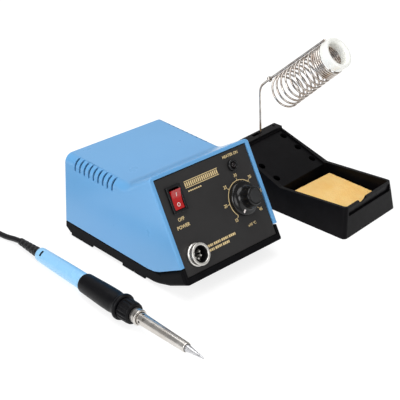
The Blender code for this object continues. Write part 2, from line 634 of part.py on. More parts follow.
def make_iron(iron):
    blue = material("handle_blue", PALE_BLUE, 0.3)
    black = material("grip_black", BLACK, 0.55)
    steel = material("barrel_steel", STEEL, 0.28, 1.0)
    handle = [(0, HANDLE_END), (6.6, HANDLE_END), (7.4, HANDLE_END - 1.5), (7.2, 40.0), (6.7, 12.0),
              (6.5, 2.2), (6.2, 0.6), (5.4, 0.0), (0, 0.0)]
    turned("iron_handle", handle, blue, iron, steps=24)
    grip = [(2.5, GRIP_END), (10.6, GRIP_END), (11.5, GRIP_END - 0.9), (11.5, GRIP_END - 3.0),
            (10.8, GRIP_END - 3.8), (9.6, GRIP_END - 5.0), (9.3, GRIP_END - 8.0), (9.8, GRIP_END - 14.0),
            (9.7, GRIP_END - 24.0), (9.0, HANDLE_END + 10), (8.7, HANDLE_END + 2.0), (8.0, HANDLE_END + GAP),
            (0, HANDLE_END + GAP), (0, 104.0), (2.5, 104.0)]
    turned("iron_grip", grip, black, iron, steps=24)
    ribs = []
    for k in range(48):
        radius = 9.6 if k % 2 else 8.9
        angle = 2 * math.pi * k / 48
        ribs.append((radius * math.cos(angle), radius * math.sin(angle)))
    guard = make_object("guard_nut", prism(ribs, GRIP_END + GAP, GUARD_NUT_END, "Z"), black, iron)
    combine(guard, cutter("guard_bore", rod(5.6, GRIP_END - 5, GUARD_NUT_END + 5, segments=28), iron))
    ferrule = [(6.2, BARREL_NUT_END), (6.9, BARREL_NUT_END - 0.6), (6.9, BARREL_NUT_END - 2.0),
               (6.4, BARREL_NUT_END - 2.6), (6.4, GUARD_NUT_END + 0.5), (5.5, GUARD_NUT_END + 0.5),
               (5.5, BARREL_NUT_END)]
    turned("barrel_nut", ferrule, steel, iron, steps=24)
    barrel = [(4.0, BARREL_END), (4.2, BARREL_END - 0.6), (5.1, GUARD_NUT_END + 10), (5.1, GRIP_END + 3),
              (4.4, GRIP_END + 3), (4.4, GUARD_NUT_END + 10), (3.5, BARREL_END - 3), (3.5, BARREL_END)]
    barrel = turned("heater_barrel", barrel, steel, iron, steps=20)
    vents = bmesh.new()
    for s, first in ((141.0, 0), (145.0, 45)):
        for k in range(2):
            angle = Matrix.Rotation(math.radians(first + 90 * k), 4, "Z")
            place = Matrix.Translation((0, 0, s)) @ angle @ Matrix.Rotation(math.radians(90), 4, "X")
            bmesh.ops.create_cone(vents, cap_ends=True, segments=10, radius1=1.1, radius2=1.1, depth=16,
                                  matrix=place)
    combine(barrel, cutter("barrel_vents", vents, iron))
    tip = [(0, TIP_END), (0.7, TIP_END - 0.3), (1.2, TIP_END - 5.0), (2.7, BARREL_END + 3.0),
           (3.1, BARREL_END + 1.5), (3.1, 150.0), (2.5, 150.0), (2.5, 186.0), (0, 186.0)]
    turned("iron_tip", tip, material("tip_plated", (0.7, 0.69, 0.66), 0.4, 0.9), iron, steps=24)
    turned("heating_element", [(0, 184.0), (2.1, 184.0), (2.1, 104.5), (0, 104.5)],
           material("ceramic", WHITE, 0.6), iron, steps=16)
    boot = [(0, -GAP), (4.6, -GAP), (4.4, -6.0), (3.9, -16.0), (3.3, -BOOT_LENGTH), (0, -BOOT_LENGTH)]
    turned("iron_boot", boot, material("boot_black", BLACK, 0.6), iron, steps=24)


def make_cord():
    black = material("cord_black", BLACK, 0.5)
    wire("iron_cord", smooth_route(CORD_ROUTE, 6.0), CORD_RADIUS, black)
    wire("iron_cord_tail", smooth_route(TAIL_ROUTE, 6.0), CORD_RADIUS, black)
    inner, outer, low, high = CORD_COIL
    ring = [(outer - 1.5, high), (outer, high - 1.5), (outer, low + 1.5), (outer - 1.5, low),
            (inner + 1.5, low), (inner, low + 1.5), (inner, high - 1.5), (inner + 1.5, high)]
    turned("iron_cord_coil", ring, black, at=(*COIL_CENTRE, 0), steps=28)
    plug = frame_empty("plug_frame", PLUG_AT, (90, 0, PLUG_TURN))
    shell = [(0, 30.0), (6.6, 30.0), (6.6, 15.3), (7.4, 15.0), (7.4, 6.0), (5.0, 4.5), (3.4, 0), (0, 0)]
    turned("plug_body", shell, material("plug_metal", STEEL, 0.3, 1.0), plug, steps=20)
    coupling = [(7.7, 32.5), (8.1, 32.0), (8.1, 16.0), (7.7, 15.6), (6.9, 15.6), (6.9, 32.5)]
    turned("plug_ring", coupling, material("plug_metal", STEEL, 0.3, 1.0), plug, steps=24)


def main():
    clear_scene()
    roots["root"] = frame_empty("bench_origin", ORIGIN_SHIFT)
    panel = frame_empty("panel_frame", (0, *PANEL_FOOT), (90 - PANEL_LEAN, 0, 0))
    make_cover(panel)
    make_base(panel)
    make_front_panel(panel)
    make_switch(panel)
    make_socket(panel)
    make_light(panel)
    make_dial(panel)
    make_rear_panel()
    make_insides()
    stand = frame_empty("stand_frame", (*STAND_AT, 0), (0, 0, STAND_TURN))
    make_stand_body(stand)
    make_sponge(stand)
    make_holder(stand)
    make_iron(frame_empty("iron_frame", IRON_AT, (90 - IRON_TILT, 0, IRON_TURN)))
    make_cord()


main()
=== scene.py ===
"""Soldering iron station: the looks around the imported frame.

Sizes are in millimetres in local frames and are scaled to metres as each piece is made.
X runs to the power unit's right, Y to its back and Z up, with the origin on the bench.
"""

from math import atan2, copysign, cos, degrees, pi, radians, sin, sqrt, tan

import bmesh
import bpy
from mathutils import Euler, Matrix, Vector, noise


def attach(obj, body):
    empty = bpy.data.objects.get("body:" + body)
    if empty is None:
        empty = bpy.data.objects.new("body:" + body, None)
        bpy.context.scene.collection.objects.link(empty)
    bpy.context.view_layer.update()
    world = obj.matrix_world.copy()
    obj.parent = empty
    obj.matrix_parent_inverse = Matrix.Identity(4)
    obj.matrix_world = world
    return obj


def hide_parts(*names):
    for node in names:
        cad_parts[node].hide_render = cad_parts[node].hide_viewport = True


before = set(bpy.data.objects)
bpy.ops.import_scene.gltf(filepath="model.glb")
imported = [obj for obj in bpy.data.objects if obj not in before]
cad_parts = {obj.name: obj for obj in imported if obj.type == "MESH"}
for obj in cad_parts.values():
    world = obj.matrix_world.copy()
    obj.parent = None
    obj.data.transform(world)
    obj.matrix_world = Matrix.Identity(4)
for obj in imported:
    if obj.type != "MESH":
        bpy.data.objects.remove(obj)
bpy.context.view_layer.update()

MM = 0.001
GAP = 0.3
SHARP_ANGLE = 40.0
SMOOTH_TURN = 9.0
ROUNDING_STEPS = 3
ARCH_STEPS = 10
POINTS_A_TURN = 40
OTHER_SHADE = 0.86
BLUNT_END = ((0.5, 0.87), (0.85, 0.53), (1, 0.2))

# Camera: its place in the power unit's frame, and its yaw, pitch and roll
CAMERA_AT = (-630.8, -636, 536.9)
CAMERA_TURNS = (46.34, 28.76, 2.54)
CAMERA_LENS = 103.2

# Lights: place, aim and size in metres, and power in watts
LIGHTS = {
    "overhead": ((-0.15, 0.1, 1.4), (0, 0, 0), (1.5, 1), 14),
    "left_soft": ((-1.5, -0.25, 0.7), (0, 0, 0.05), (0.9, 0.9), 13),
    "front_soft": ((0.2, -1.5, 0.8), (0, 0, 0.05), (0.7, 0.5), 4),
    "back_soft": ((1.05, 1, 0.85), (0, 0, 0.08), (1.6, 0.8), 2),
}

# Power unit
UNIT_WIDTH = 120.0
UNIT_BACK = 76.0
UNIT_TOP = 80.5
LIP_TOP = 98.8
PANEL_FOOT = (-78, 22.4)
PANEL_LEAN = 31.4
PANEL_WIDTH = 111.2
PANEL_HEIGHT = 86.2
COVER_WALL = 2.0
EDGE_RADIUS = 8.0
LIP_RADIUS = 4.5
BEYOND_PANEL = -90.0
LIP_STATION = -34.0
RIM_ROUNDING = 1.3
RAMP_START = 3.4
RAMP_ANGLE = 33.0
RAMP_FILLET = 22.0
SEAM = [(UNIT_BACK, 13.2), (-33, 12.4), (-41, 13.4), (-48, 16), (-73.4, 30)]
CORNER_BEVEL = 3.2
BASE_UNDERSIDE = [(-81, 17.5), (-60, 7.2), (-48, 3.5), (70, 3.5), (UNIT_BACK, 7.5)]
SLOT_COUNT = 9
SLOT_PITCH = 6.1
SLOT_FIRST = 13.4
SLOT_WIDTH = 2.0
SLOT_OVER_TOP = 6.5
SLOT_DOWN_SIDE = 11.5
LUG_PLACES = (62, 47, -7.5, -22.5)
LUG_LENGTH = 14.6
FOOT_PLACES = [(-50, -28), (50, -28), (-50, 56), (50, 56)]
SCREW_PLACES = [(-50, -8), (50, -8), (-50, 36), (50, 36)]

# Places on the front panel: across from its middle, and up from its lower edge
SWITCH_AT = (-39, 64.8)
SOCKET_AT = (-38.7, 15)
LED_AT = (32.4, 72)
DIAL_AT = (32, 41.5)
DIAL_FIRST = 225.0
DIAL_RANGE = 270.0
POINTER_REACH = (10.6, 13.9)
POINTER_WIDTH = 1.5
ROCKER_TILT = 10.0
PANEL_FACE = -1.0
PRINT_DEPTH = 0.05
PRINT_LOW = PANEL_FACE + 0.01
LETTER_SPREAD = 0.07
SCALE_RING = (16.45, 17.1)
SCALE_MARKS = 7
TICK_REACH = (17, 19)
TICK_WIDTH = 0.56
NUMBER_REACH = (22, 21.4)
PANEL_WORDS = [("x10 °C", 3.4, (32.1, 17.6)), ("HEATER ON", 3.5, (34.4, 81.3)), ("OFF", 4.2, (-40.8, 47.6)),
               ("POWER", 4.2, (-41, 41.2))]
LABEL_LINES = [(16.9, 11.2), (13, 2.6)]
LABEL_LEFT = -25.6
LABEL_PITCH = 2.3
MARK_SPAN = (-25, 15)
MARK_PITCH = 2.22
PLATE_MARGIN = 0.7

# Stand, measured from its front left corner
STAND_WIDTH = 88.0
STAND_DEPTH = 148.0
STAND_FLARE = 0.172
WELL = (8, 80, 7, 80.5, 6)
RIM_FRONT = (5.2, 29.5)
RIM_LOW = (80, 23.5)
RIM_HIGH = (136, 42.5)
BLOCK_TOP = 45.0
HOLE_COLUMNS = (14.5, 73.5)
HOLE_ROWS = (91.5, 110, 128.5)
HOLE_RADIUS = 3.5
SPONGE_SIZE = (60, 60, 11.7)
SPONGE_AT = (43.5, 42.2)
SPONGE_TURN = -3.1
SPONGE_EDGE = 1.6
ROD_AT = (52, 142)
ROD_RADIUS = 1.1
SPARE_HOLE_OFFSET = 22.0
COIL_BASE = (117.2, 96)
COIL_RISE = 43.9
COIL_LENGTH = 70.5
COIL_RADII = (16.3, 15)
COIL_TILTS = (14, -5)
COIL_WIRE = 0.95
ROD_OUT = 18.8
OPEN_TURNS = 9.5
TIGHT_TURNS = 5
TIGHT_PITCH = 2.3
COLLAR_LENGTH = 10.0
COLLAR_RADII = (10.8, 15.6)

# Iron, measured along its axis from the rear end of the handle
HANDLE_END = 64.0
GRIP_END = 117.0
GUARD_NUT_END = 130.0
BARREL_NUT_END = 137.5
BARREL_END = 193.0
TIP_END = 212.0
BOOT_LENGTH = 30.0

# Cord, all of it on the bench
CORD_RADIUS = 2.5
CORD_ROUTE = [(-106.1, 84.6, 5.6), (-106.6, 93, 4.4), (-108, 102, 3.1), (-109.2, 114, 2.7),
              (-108.4, 127, 2.7), (-107.1, 141, 2.7)]
COIL_CENTRE = (-148.4, 143)
COIL_OUTSIDE = 36.0
COIL_PITCH = 5.1
COIL_LEVELS = (2.7, 7.85)
COIL_CLIMB = 90.0
COIL_JOIN = 75.0
TAIL_ROUTE = [(-188.2, 131.6, 7.9), (-186.8, 122.6, 8), (-183.4, 112.6, 8.1), (-181.2, 104.9, 8.2)]
PLUG_AT = (-181, 104.2, 8.3)


def frame_at(at, turn=(0, 0, 0), parent=None):
    """A local frame: at is in millimetres, turn in degrees about X, Y and Z."""
    angles = Euler([radians(angle) for angle in turn])
    made = Matrix.Translation(Vector(at) * MM) @ angles.to_matrix().to_4x4()
    return parent @ made if parent else made


BENCH = frame_at((-42.8, 37, 0))
PANEL = frame_at((0, *PANEL_FOOT), (90 - PANEL_LEAN, 0, 0), BENCH)
STAND = frame_at((122.9, -103.3, 0), (0, 0, 4.6), BENCH)
IRON = frame_at((-107.5, 53.7, 6.95), (90 - 2.4, 0, -2.8), BENCH)
PLUG = frame_at(PLUG_AT, (90, 0, 14), BENCH)


# ---------------------------------------------------------------- shapes

def shown(name, data):
    """A new object in the scene."""
    made = bpy.data.objects.new(name, data)
    bpy.context.scene.collection.objects.link(made)
    return made


def piece(name, shape, surface, body, place, replaced="", slot="", sharp=35):
    """A piece from a bmesh in millimetres, placed in a local frame and riding on a CAD body."""
    bmesh.ops.scale(shape, vec=(MM, MM, MM), verts=shape.verts)
    mesh = bpy.data.meshes.new(name)
    shape.to_mesh(mesh)
    shape.free()
    mesh.materials.append(surface)
    mesh.shade_smooth()
    mesh.set_sharp_from_angle(angle=radians(sharp))
    made = shown(name, mesh)
    made.matrix_world = place
    return riding(made, body, surface, replaced, slot)


def moulded(name, shape, surface, body, place, replaced="", slot=""):
    """A piece with large flat faces, which stay flat in shading beside their rounded edges."""
    made = piece(name, shape, surface, body, place, replaced, slot, SHARP_ANGLE)
    normals = made.modifiers.new("Normals", "WEIGHTED_NORMAL")
    normals.keep_sharp = True
    return made


def riding(made, body, surface, replaced="", slot=""):
    """Ties a piece to its body and hides the CAD nodes it replaces; the slot named after its surface is
    worked out but not used.
    """
    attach(made, body)
    if replaced:
        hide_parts(*replaced.split())
        slot = slot or surface.name.split(".")[0]
    return made


def box(low, high, shape=None):
    shape = shape or bmesh.new()
    low, high = Vector(low), Vector(high)
    size = Matrix.Diagonal((*(high - low), 1))
    bmesh.ops.create_cube(shape, size=1, matrix=Matrix.Translation((low + high) / 2) @ size)
    return shape


def rod(radius, low, high, at=(0, 0), segments=48, shape=None):
    """A cylinder along Z."""
    shape = shape or bmesh.new()
    place = Matrix.Translation((at[0], at[1], (low + high) / 2))
    bmesh.ops.create_cone(shape, cap_ends=True, segments=segments, radius1=radius, radius2=radius,
                          depth=high - low, matrix=place)
    return shape


def prism(outline, low, high):
    """A flat outline of (y, z) points drawn out along X."""
    shape = bmesh.new()
    face = shape.faces.new([shape.verts.new((low, y, z)) for y, z in outline])
    drawn = bmesh.ops.extrude_face_region(shape, geom=[face])["geom"]
    ends = [corner for corner in drawn if isinstance(corner, bmesh.types.BMVert)]
    bmesh.ops.translate(shape, vec=(high - low, 0, 0), verts=ends)
    bmesh.ops.recalc_face_normals(shape, faces=shape.faces)
    return shape


def add(shape, other):
    """Puts one bmesh into another and frees it."""
    mesh = bpy.data.meshes.new("added")
    other.to_mesh(mesh)
    other.free()
    shape.from_mesh(mesh)
    bpy.data.meshes.remove(mesh)


def bevel_edges(shape, wanted, width, segments=3):
    edges = [edge for edge in shape.edges if wanted(edge.verts[0].co, edge.verts[1].co)]
    bmesh.ops.bevel(shape, geom=edges, offset=width, segments=segments, profile=0.5, affect="EDGES")
    return shape


def moved(shape, place):
    bmesh.ops.transform(shape, matrix=place, verts=shape.verts)
    return shape


def in_mm(place):
    """A frame's matrix with its translation in millimetres."""
    made = place.copy()
    made.translation = place.translation / MM
    return made


def held(shape):
    mesh = bpy.data.meshes.new("working")
    shape.to_mesh(mesh)
    shape.free()
    return shown("working", mesh)


def worked(shape, tools=(), rounding=0, segments=2, angle=SHARP_ANGLE):
    """The shape after its boolean tools, each (bmesh, operation), with its sharp edges rounded."""
    target = held(shape)
    used = [target]
    for tool, operation in tools:
        boolean = target.modifiers.new("Cut", "BOOLEAN")
        boolean.operation = operation
        boolean.solver = "EXACT"
        boolean.object = held(tool)
        used.append(boolean.object)
    if rounding:
        bevel = target.modifiers.new("Round", "BEVEL")
        bevel.width = rounding
        bevel.segments = segments
        bevel.limit_method = "ANGLE"
        bevel.angle_limit = radians(angle)
        bevel.miter_outer = "MITER_ARC"
    graph = bpy.context.evaluated_depsgraph_get()
    made = bmesh.new()
    mesh = target.evaluated_get(graph).to_mesh()
    made.from_mesh(mesh)
    for old in used:
        data = old.data
        bpy.data.objects.remove(old)
        bpy.data.meshes.remove(data)
    return made


def cuts(*shapes):
    return [(shape, "DIFFERENCE") for shape in shapes]


def joins(*shapes):
    return [(shape, "UNION") for shape in shapes]


def smooth_route(route, spacing):
    """Points about one spacing apart on a smooth curve through the route's own points."""
    route = [Vector(point) for point in route]
    ends = [2 * route[0] - route[1], *route, 2 * route[-1] - route[-2]]
    found = []
    for before, start, end, after in zip(ends, ends[1:], ends[2:], ends[3:]):
        count = max(1, round((end - start).length / spacing))
        once = end - before
        twice = 2 * before - 5 * start + 4 * end - after
        thrice = 3 * start - before - 3 * end + after
        for step in range(count):
            t = step / count
            found.append(start + (once * t + twice * t ** 2 + thrice * t ** 3) / 2)
    return [*found, route[-1]]


def rounded(profile, radius, closed):
    """A profile with its corners rounded off by short arcs."""
    points = [Vector(point) for point in profile]
    found = []
    for k, corner in enumerate(points):
        at_end = not closed and k in (0, len(points) - 1)
        before, after = points[k - 1], points[(k + 1) % len(points)]
        if at_end:
            found.append(corner)
            continue
        inward, outward = before - corner, after - corner
        turn = pi - inward.angle(outward, pi)
        if turn < radians(SMOOTH_TURN):
            found.append(corner)
            continue
        reach = min(radius, inward.length * 0.45, outward.length * 0.45)
        start, end = corner + inward.normalized() * reach, corner + outward.normalized() * reach
        for step in range(ROUNDING_STEPS + 1):
            t = step / ROUNDING_STEPS
            found.append(start * (1 - t) ** 2 + corner * (2 * t * (1 - t)) + end * t ** 2)
    return found


def lathe(profile, soften=0.3, steps=96, ribs=None):
    """A turned shape about Z from (radius, height) points; ribs are (count, depth, low, high)."""
    closed = profile[0][0] > 0 and profile[-1][0] > 0
    line = rounded(profile, soften, closed)
    shape = bmesh.new()
    rings = []
    for radius, height in line:
        if radius < 1e-6:
            rings.append([shape.verts.new((0, 0, height))])
            continue
        ring = []
        for k in range(steps):
            angle = 2 * pi * k / steps
            here = radius
            if ribs and ribs[2] <= height <= ribs[3]:
                here -= ribs[1] * (0.5 - 0.5 * cos(ribs[0] * angle)) ** 2
            ring.append(shape.verts.new((here * cos(angle), here * sin(angle), height)))
        rings.append(ring)
    pairs = list(zip(rings, rings[1:]))
    if closed:
        pairs.append((rings[-1], rings[0]))
    for upper, lower in pairs:
        for k in range(steps):
            other = (k + 1) % steps
            corners = [upper[k % len(upper)], lower[k % len(lower)], lower[other % len(lower)],
                       upper[other % len(upper)]]
            corners = list(dict.fromkeys(corners))
            if len(corners) > 2:
                shape.faces.new(corners)
    bmesh.ops.recalc_face_normals(shape, faces=shape.faces)
    return shape


def wire(name, points, radius, surface, body, place, replaced, resolution=5, blunt=False):
    """A round wire or cord along points in millimetres; a blunt one has rounded ends."""
    curve = bpy.data.curves.new(name, "CURVE")
    curve.dimensions = "3D"
    curve.bevel_depth = radius * MM
    curve.bevel_resolution = resolution
    curve.use_fill_caps = True
    points = [Vector(point) for point in points]
    widths = [1] * len(points)
    if blunt:
        for _ in range(2):
            lead = (points[0] - points[1]).normalized()
            for share, width in BLUNT_END:
                points.insert(0, points[0] + lead * radius * share * 0.5)
                widths.insert(0, width)
            points.reverse()
            widths.reverse()
    spline = curve.splines.new("POLY")
    spline.points.add(len(points) - 1)
    for point, at, width in zip(spline.points, points, widths):
        point.co = (*(at * MM), 1)
        point.radius = width
    spline.use_smooth = True
    curve.materials.append(surface)
    made = shown(name, curve)
    made.matrix_world = place
    return riding(made, body, surface, replaced)


# ---------------------------------------------------------------- materials

def linear(colour):
    """A colour given as it shows on a screen, 0 to 255, as the shader's linear values."""
    return tuple((value / 255 / 12.92) if value <= 10 else ((value / 255 + 0.055) / 1.055) ** 2.4
                 for value in colour)


def node(tree, kind, **settings):
    made = tree.nodes.new(kind)
    for key, value in settings.items():
        if key in made.inputs:
            made.inputs[key].default_value = value
        else:
            setattr(made, key, value)
    return made


def noise_of(tree, where, scale, detail=3, stretch=None):
    """A noise texture in object space, its scale in features a metre, stretched on each axis if asked."""
    if stretch:
        mapping = node(tree, "ShaderNodeMapping")
        mapping.inputs["Scale"].default_value = stretch
        tree.links.new(where, mapping.inputs["Vector"])
        where = mapping.outputs["Vector"]
    made = node(tree, "ShaderNodeTexNoise", Scale=scale, Detail=detail)
    tree.links.new(where, made.inputs["Vector"])
    return made.outputs["Fac"]


def ranged(tree, value, low, high, start=0.3, stop=0.7):
    made = node(tree, "ShaderNodeMapRange")
    for key, number in zip(("From Min", "From Max", "To Min", "To Max"), (start, stop, low, high)):
        made.inputs[key].default_value = number
    tree.links.new(value, made.inputs["Value"])
    return made.outputs["Result"]


def bumped(tree, value, depth, before=None):
    """A bump of a depth in metres on top of another one."""
    made = node(tree, "ShaderNodeBump", Distance=depth, Strength=1)
    tree.links.new(value, made.inputs["Height"])
    if before:
        tree.links.new(before, made.inputs["Normal"])
    return made.outputs["Normal"]


def finish(name, colour, rough, metal=0, other=None, patch=90, vary=0.06,
           grain=None, lines=None, coat=0, coat_rough=0.1, specular=0.5):
    """A surface with colour that drifts to another, uneven roughness, and fine grain or turned lines.

    Colours are as on a screen. grain is (features a metre, depth in metres); lines are (features a metre,
    depth, stretch).
    """
    made = bpy.data.materials.new(name)
    made.use_nodes = True
    tree = made.node_tree
    shader = tree.nodes["Principled BSDF"]
    where = node(tree, "ShaderNodeTexCoord").outputs["Object"]
    colour = linear(colour)
    other = linear(other) if other else tuple(value * OTHER_SHADE for value in colour)
    mix = node(tree, "ShaderNodeMix", data_type="RGBA")
    mix.inputs[6].default_value = (*colour, 1)
    mix.inputs[7].default_value = (*other, 1)
    drift = noise_of(tree, where, patch, 4)
    tree.links.new(ranged(tree, drift, 0, 1), mix.inputs["Factor"])
    tree.links.new(mix.outputs[2], shader.inputs["Base Color"])
    uneven = noise_of(tree, where, patch * 2.7, 5)
    tree.links.new(ranged(tree, uneven, max(0.03, rough - vary), rough + vary), shader.inputs["Roughness"])
    normal = None
    if grain:
        normal = bumped(tree, noise_of(tree, where, grain[0], 3), grain[1])
    if lines:
        normal = bumped(tree, noise_of(tree, where, lines[0], 2, lines[2]), lines[1], normal)
    if normal:
        tree.links.new(normal, shader.inputs["Normal"])
    for key, value in (("Metallic", metal), ("Coat Weight", coat), ("Coat Roughness", coat_rough),
                       ("Specular IOR Level", specular)):
        shader.inputs[key].default_value = value
    return made


def sponge_finish():
    """Cellulose sponge: pores of two sizes on a surface that lets a little light in."""
    made = finish("sponge_yellow", (255, 214, 140), 0.9, other=(250, 200, 120), patch=70, vary=0.05,
                  specular=0.2)
    tree = made.node_tree
    shader = tree.nodes["Principled BSDF"]
    where = next(n for n in tree.nodes if n.type == "TEX_COORD").outputs["Object"]
    normal = None
    for scale, depth in ((620, 0.0002), (1500, 0.0001)):
        pores = node(tree, "ShaderNodeTexVoronoi", Scale=scale)
        pores.feature = "F1"
        tree.links.new(where, pores.inputs["Vector"])
        walls = ranged(tree, pores.outputs["Distance"], 0, 1, 0.12, 0.55)
        normal = bumped(tree, walls, depth, normal)
    tree.links.new(normal, shader.inputs["Normal"])
    shader.inputs["Subsurface Weight"].default_value = 0.15
    shader.inputs["Subsurface Radius"].default_value = (0.003, 0.0018, 0.0008)
    return made


BLACK = (10, 10, 12)
MOULDED = finish("base_black", BLACK, 0.42, grain=(2600, 0.00003), other=(15, 15, 17), specular=0.05)
COVER = finish("cover_blue", (99, 161, 212), 0.3, grain=(1900, 0.000004), coat=0.25, coat_rough=0.2,
               other=(96, 158, 209), patch=18, vary=0.03)
PLATE = finish("panel_charcoal", (42, 41, 41), 0.4, grain=(3200, 0.000015), other=(40, 39, 39), patch=40,
               specular=0.3)
PRINT = finish("print_gold", (222, 198, 146), 0.55, other=(204, 180, 130), patch=400)
WHITE_PRINT = finish("print_white", (236, 226, 222), 0.5, patch=400)
GLOSS_BLACK = finish("switch_black", (16, 16, 18), 0.25, grain=(2400, 0.00001), specular=0.4)
ROCKER = finish("rocker_red", (180, 14, 16), 0.2, other=(168, 10, 14), patch=120, coat=0.4, coat_rough=0.08)
PLATED = finish("plated_metal", (236, 233, 228), 0.38, 1, other=(222, 219, 213), patch=240)
PIN_METAL = finish("pin_metal", (240, 238, 232), 0.45, 0.6, other=(222, 218, 210), patch=300)
LENS = finish("lens_dark_red", (15, 6, 7), 0.12, other=(11, 4, 5), patch=300, specular=0.3)
KNOB = finish("knob_black", (8, 8, 9), 0.22, other=(12, 12, 13), patch=140, specular=0.4)
KNOB_FACE = finish("knob_face", (30, 31, 32), 0.42, lines=(5000, 0.000008, (1, 1, 0.05)))
CORE = finish("core_steel", (96, 96, 98), 0.5, 0.9, lines=(1700, 0.0001, (0.02, 1, 0.02)))
WINDING = finish("winding_amber", (186, 120, 46), 0.4, lines=(1500, 0.0001, (0.05, 0.05, 1)))
BOARD = finish("board_green", (34, 102, 62), 0.35, other=(28, 88, 52), patch=500)
SINK = finish("sink_aluminium", (190, 190, 192), 0.4, 0.95, lines=(4000, 0.00001, (1, 1, 0.05)))
RUBBER = finish("foot_rubber", (30, 30, 31), 0.8, grain=(1800, 0.00005))
SCREW = finish("screw_steel", (190, 188, 182), 0.34, 1, lines=(6000, 0.00001, (1, 1, 0.05)))
STAND_BLACK = finish("stand_black", (10, 9, 11), 0.34, grain=(2100, 0.00003), other=(15, 14, 16),
                     specular=0.07)
NICKEL = finish("nickel_wire", (222, 217, 211), 0.18, 1, other=(160, 146, 136), patch=160,
                lines=(5000, 0.000006, (1, 1, 0.4)))
CERAMIC = finish("collar_white", (248, 248, 244), 0.3, other=(242, 243, 236), patch=60, coat=0.4,
                 coat_rough=0.12)
HANDLE = finish("handle_blue", (142, 196, 234), 0.28, other=(140, 194, 233), patch=14, coat=0.3,
                coat_rough=0.12, grain=(2200, 0.000006), vary=0.02)
GRIP = finish("grip_black", (9, 9, 12), 0.4, grain=(2600, 0.00004), other=(14, 14, 17), specular=0.15)
STEEL = finish("barrel_steel", (222, 219, 215), 0.3, 1, other=(196, 190, 183), patch=50,
               lines=(2600, 0.000006, (0.04, 0.04, 1)))
TINNED = finish("tip_plated", (214, 214, 216), 0.3, 0.85, other=(168, 168, 172), patch=300)
ELEMENT = finish("ceramic_white", (232, 230, 222), 0.6, grain=(2400, 0.00003))
JACKET = finish("cord_black", (17, 17, 19), 0.4, other=(23, 23, 26), patch=220, grain=(1500, 0.00003),
                specular=0.35)
SPONGE = sponge_finish()


# ---------------------------------------------------------------- camera, light, floor

def make_camera():
    data = bpy.data.cameras.new("camera")
    data.sensor_width = 36.0
    data.lens = CAMERA_LENS
    data.clip_start = 0.05
    data.clip_end = 20.0
    camera = shown("camera", data)
    yaw, pitch, roll = (radians(angle) for angle in CAMERA_TURNS)
    ahead = Vector((sin(yaw) * cos(pitch), cos(yaw) * cos(pitch), -sin(pitch)))
    level = Vector((cos(yaw), -sin(yaw), 0))
    upright = level.cross(ahead)
    right = level * cos(roll) + upright * sin(roll)
    up = upright * cos(roll) - level * sin(roll)
    turn = Matrix((right, up, -ahead)).transposed().to_4x4()
    camera.matrix_world = BENCH @ Matrix.Translation(Vector(CAMERA_AT) * MM) @ turn
    bpy.context.scene.camera = camera


def make_light(name, at, aim, size, power):
    data = bpy.data.lights.new(name, "AREA")
    data.shape = "RECTANGLE"
    data.size, data.size_y = size
    data.energy = power
    made = shown(name, data)
    made.location = at
    made.rotation_euler = (Vector(aim) - Vector(at)).to_track_quat("-Z", "Y").to_euler()


def make_studio():
    scene = bpy.context.scene
    scene.view_settings.view_transform = "Standard"
    world = bpy.data.worlds.new("studio")
    scene.world = world
    world.use_nodes = True
    sky = world.node_tree.nodes["Background"]
    sky.inputs["Color"].default_value = (1, 1, 1, 1)
    sky.inputs["Strength"].default_value = 0.3
    for name, setting in LIGHTS.items():
        make_light(name, *setting)
    floor = shown("floor", bpy.data.meshes.new("floor"))
    shape = bmesh.new()
    bmesh.ops.create_grid(shape, x_segments=1, y_segments=1, size=4)
    shape.to_mesh(floor.data)
    shape.free()
    pale = finish("floor_pale", (149, 149, 149), 0.8, other=(147, 147, 147), patch=3, specular=0)
    shader = pale.node_tree.nodes["Principled BSDF"]
    shader.inputs["Emission Color"].default_value = (1, 1, 1, 1)
    shader.inputs["Emission Strength"].default_value = 0.8
    floor.data.materials.append(pale)


# ---------------------------------------------------------------- cord

def eased(t):
    t = min(max(t, 0), 1)
    return t * t * (3 - 2 * t)


def coil_route():
    """The cord's coil: a spiral inwards on the bench, a climb, and a spiral outwards on top of it."""
    centre = Vector((*COIL_CENTRE, 0))
    arrival, departure = Vector(CORD_ROUTE[-1]) - centre, Vector(TAIL_ROUTE[0]) - centre
    first = degrees(atan2(arrival.y, arrival.x))
    last = degrees(atan2(departure.y, departure.x)) % 360
    whole = 5 * 360 + last - first
    turn_in = (whole - COIL_CLIMB) / 2
    inside = COIL_OUTSIDE - COIL_PITCH * turn_in / 360
    near, far = arrival.xy.length - COIL_OUTSIDE, departure.xy.length - COIL_OUTSIDE
    points = []
    count = round(whole / 9)
    for k in range(1, count):
        angle = whole * k / count
        climbed = eased((angle - turn_in) / COIL_CLIMB)
        out = max(0, angle - turn_in - COIL_CLIMB)
        radius = inside + COIL_PITCH * out / 360
        if angle < turn_in:
            radius = COIL_OUTSIDE - COIL_PITCH * angle / 360
        radius += near * (1 - eased(angle / COIL_JOIN))
        radius += far * eased((angle - whole + COIL_JOIN) / COIL_JOIN)
        height = COIL_LEVELS[0] + (COIL_LEVELS[1] - COIL_LEVELS[0]) * climbed
        turned = radians(first + angle)
        points.append(centre + Vector((radius * cos(turned), radius * sin(turned), height)))
    return points


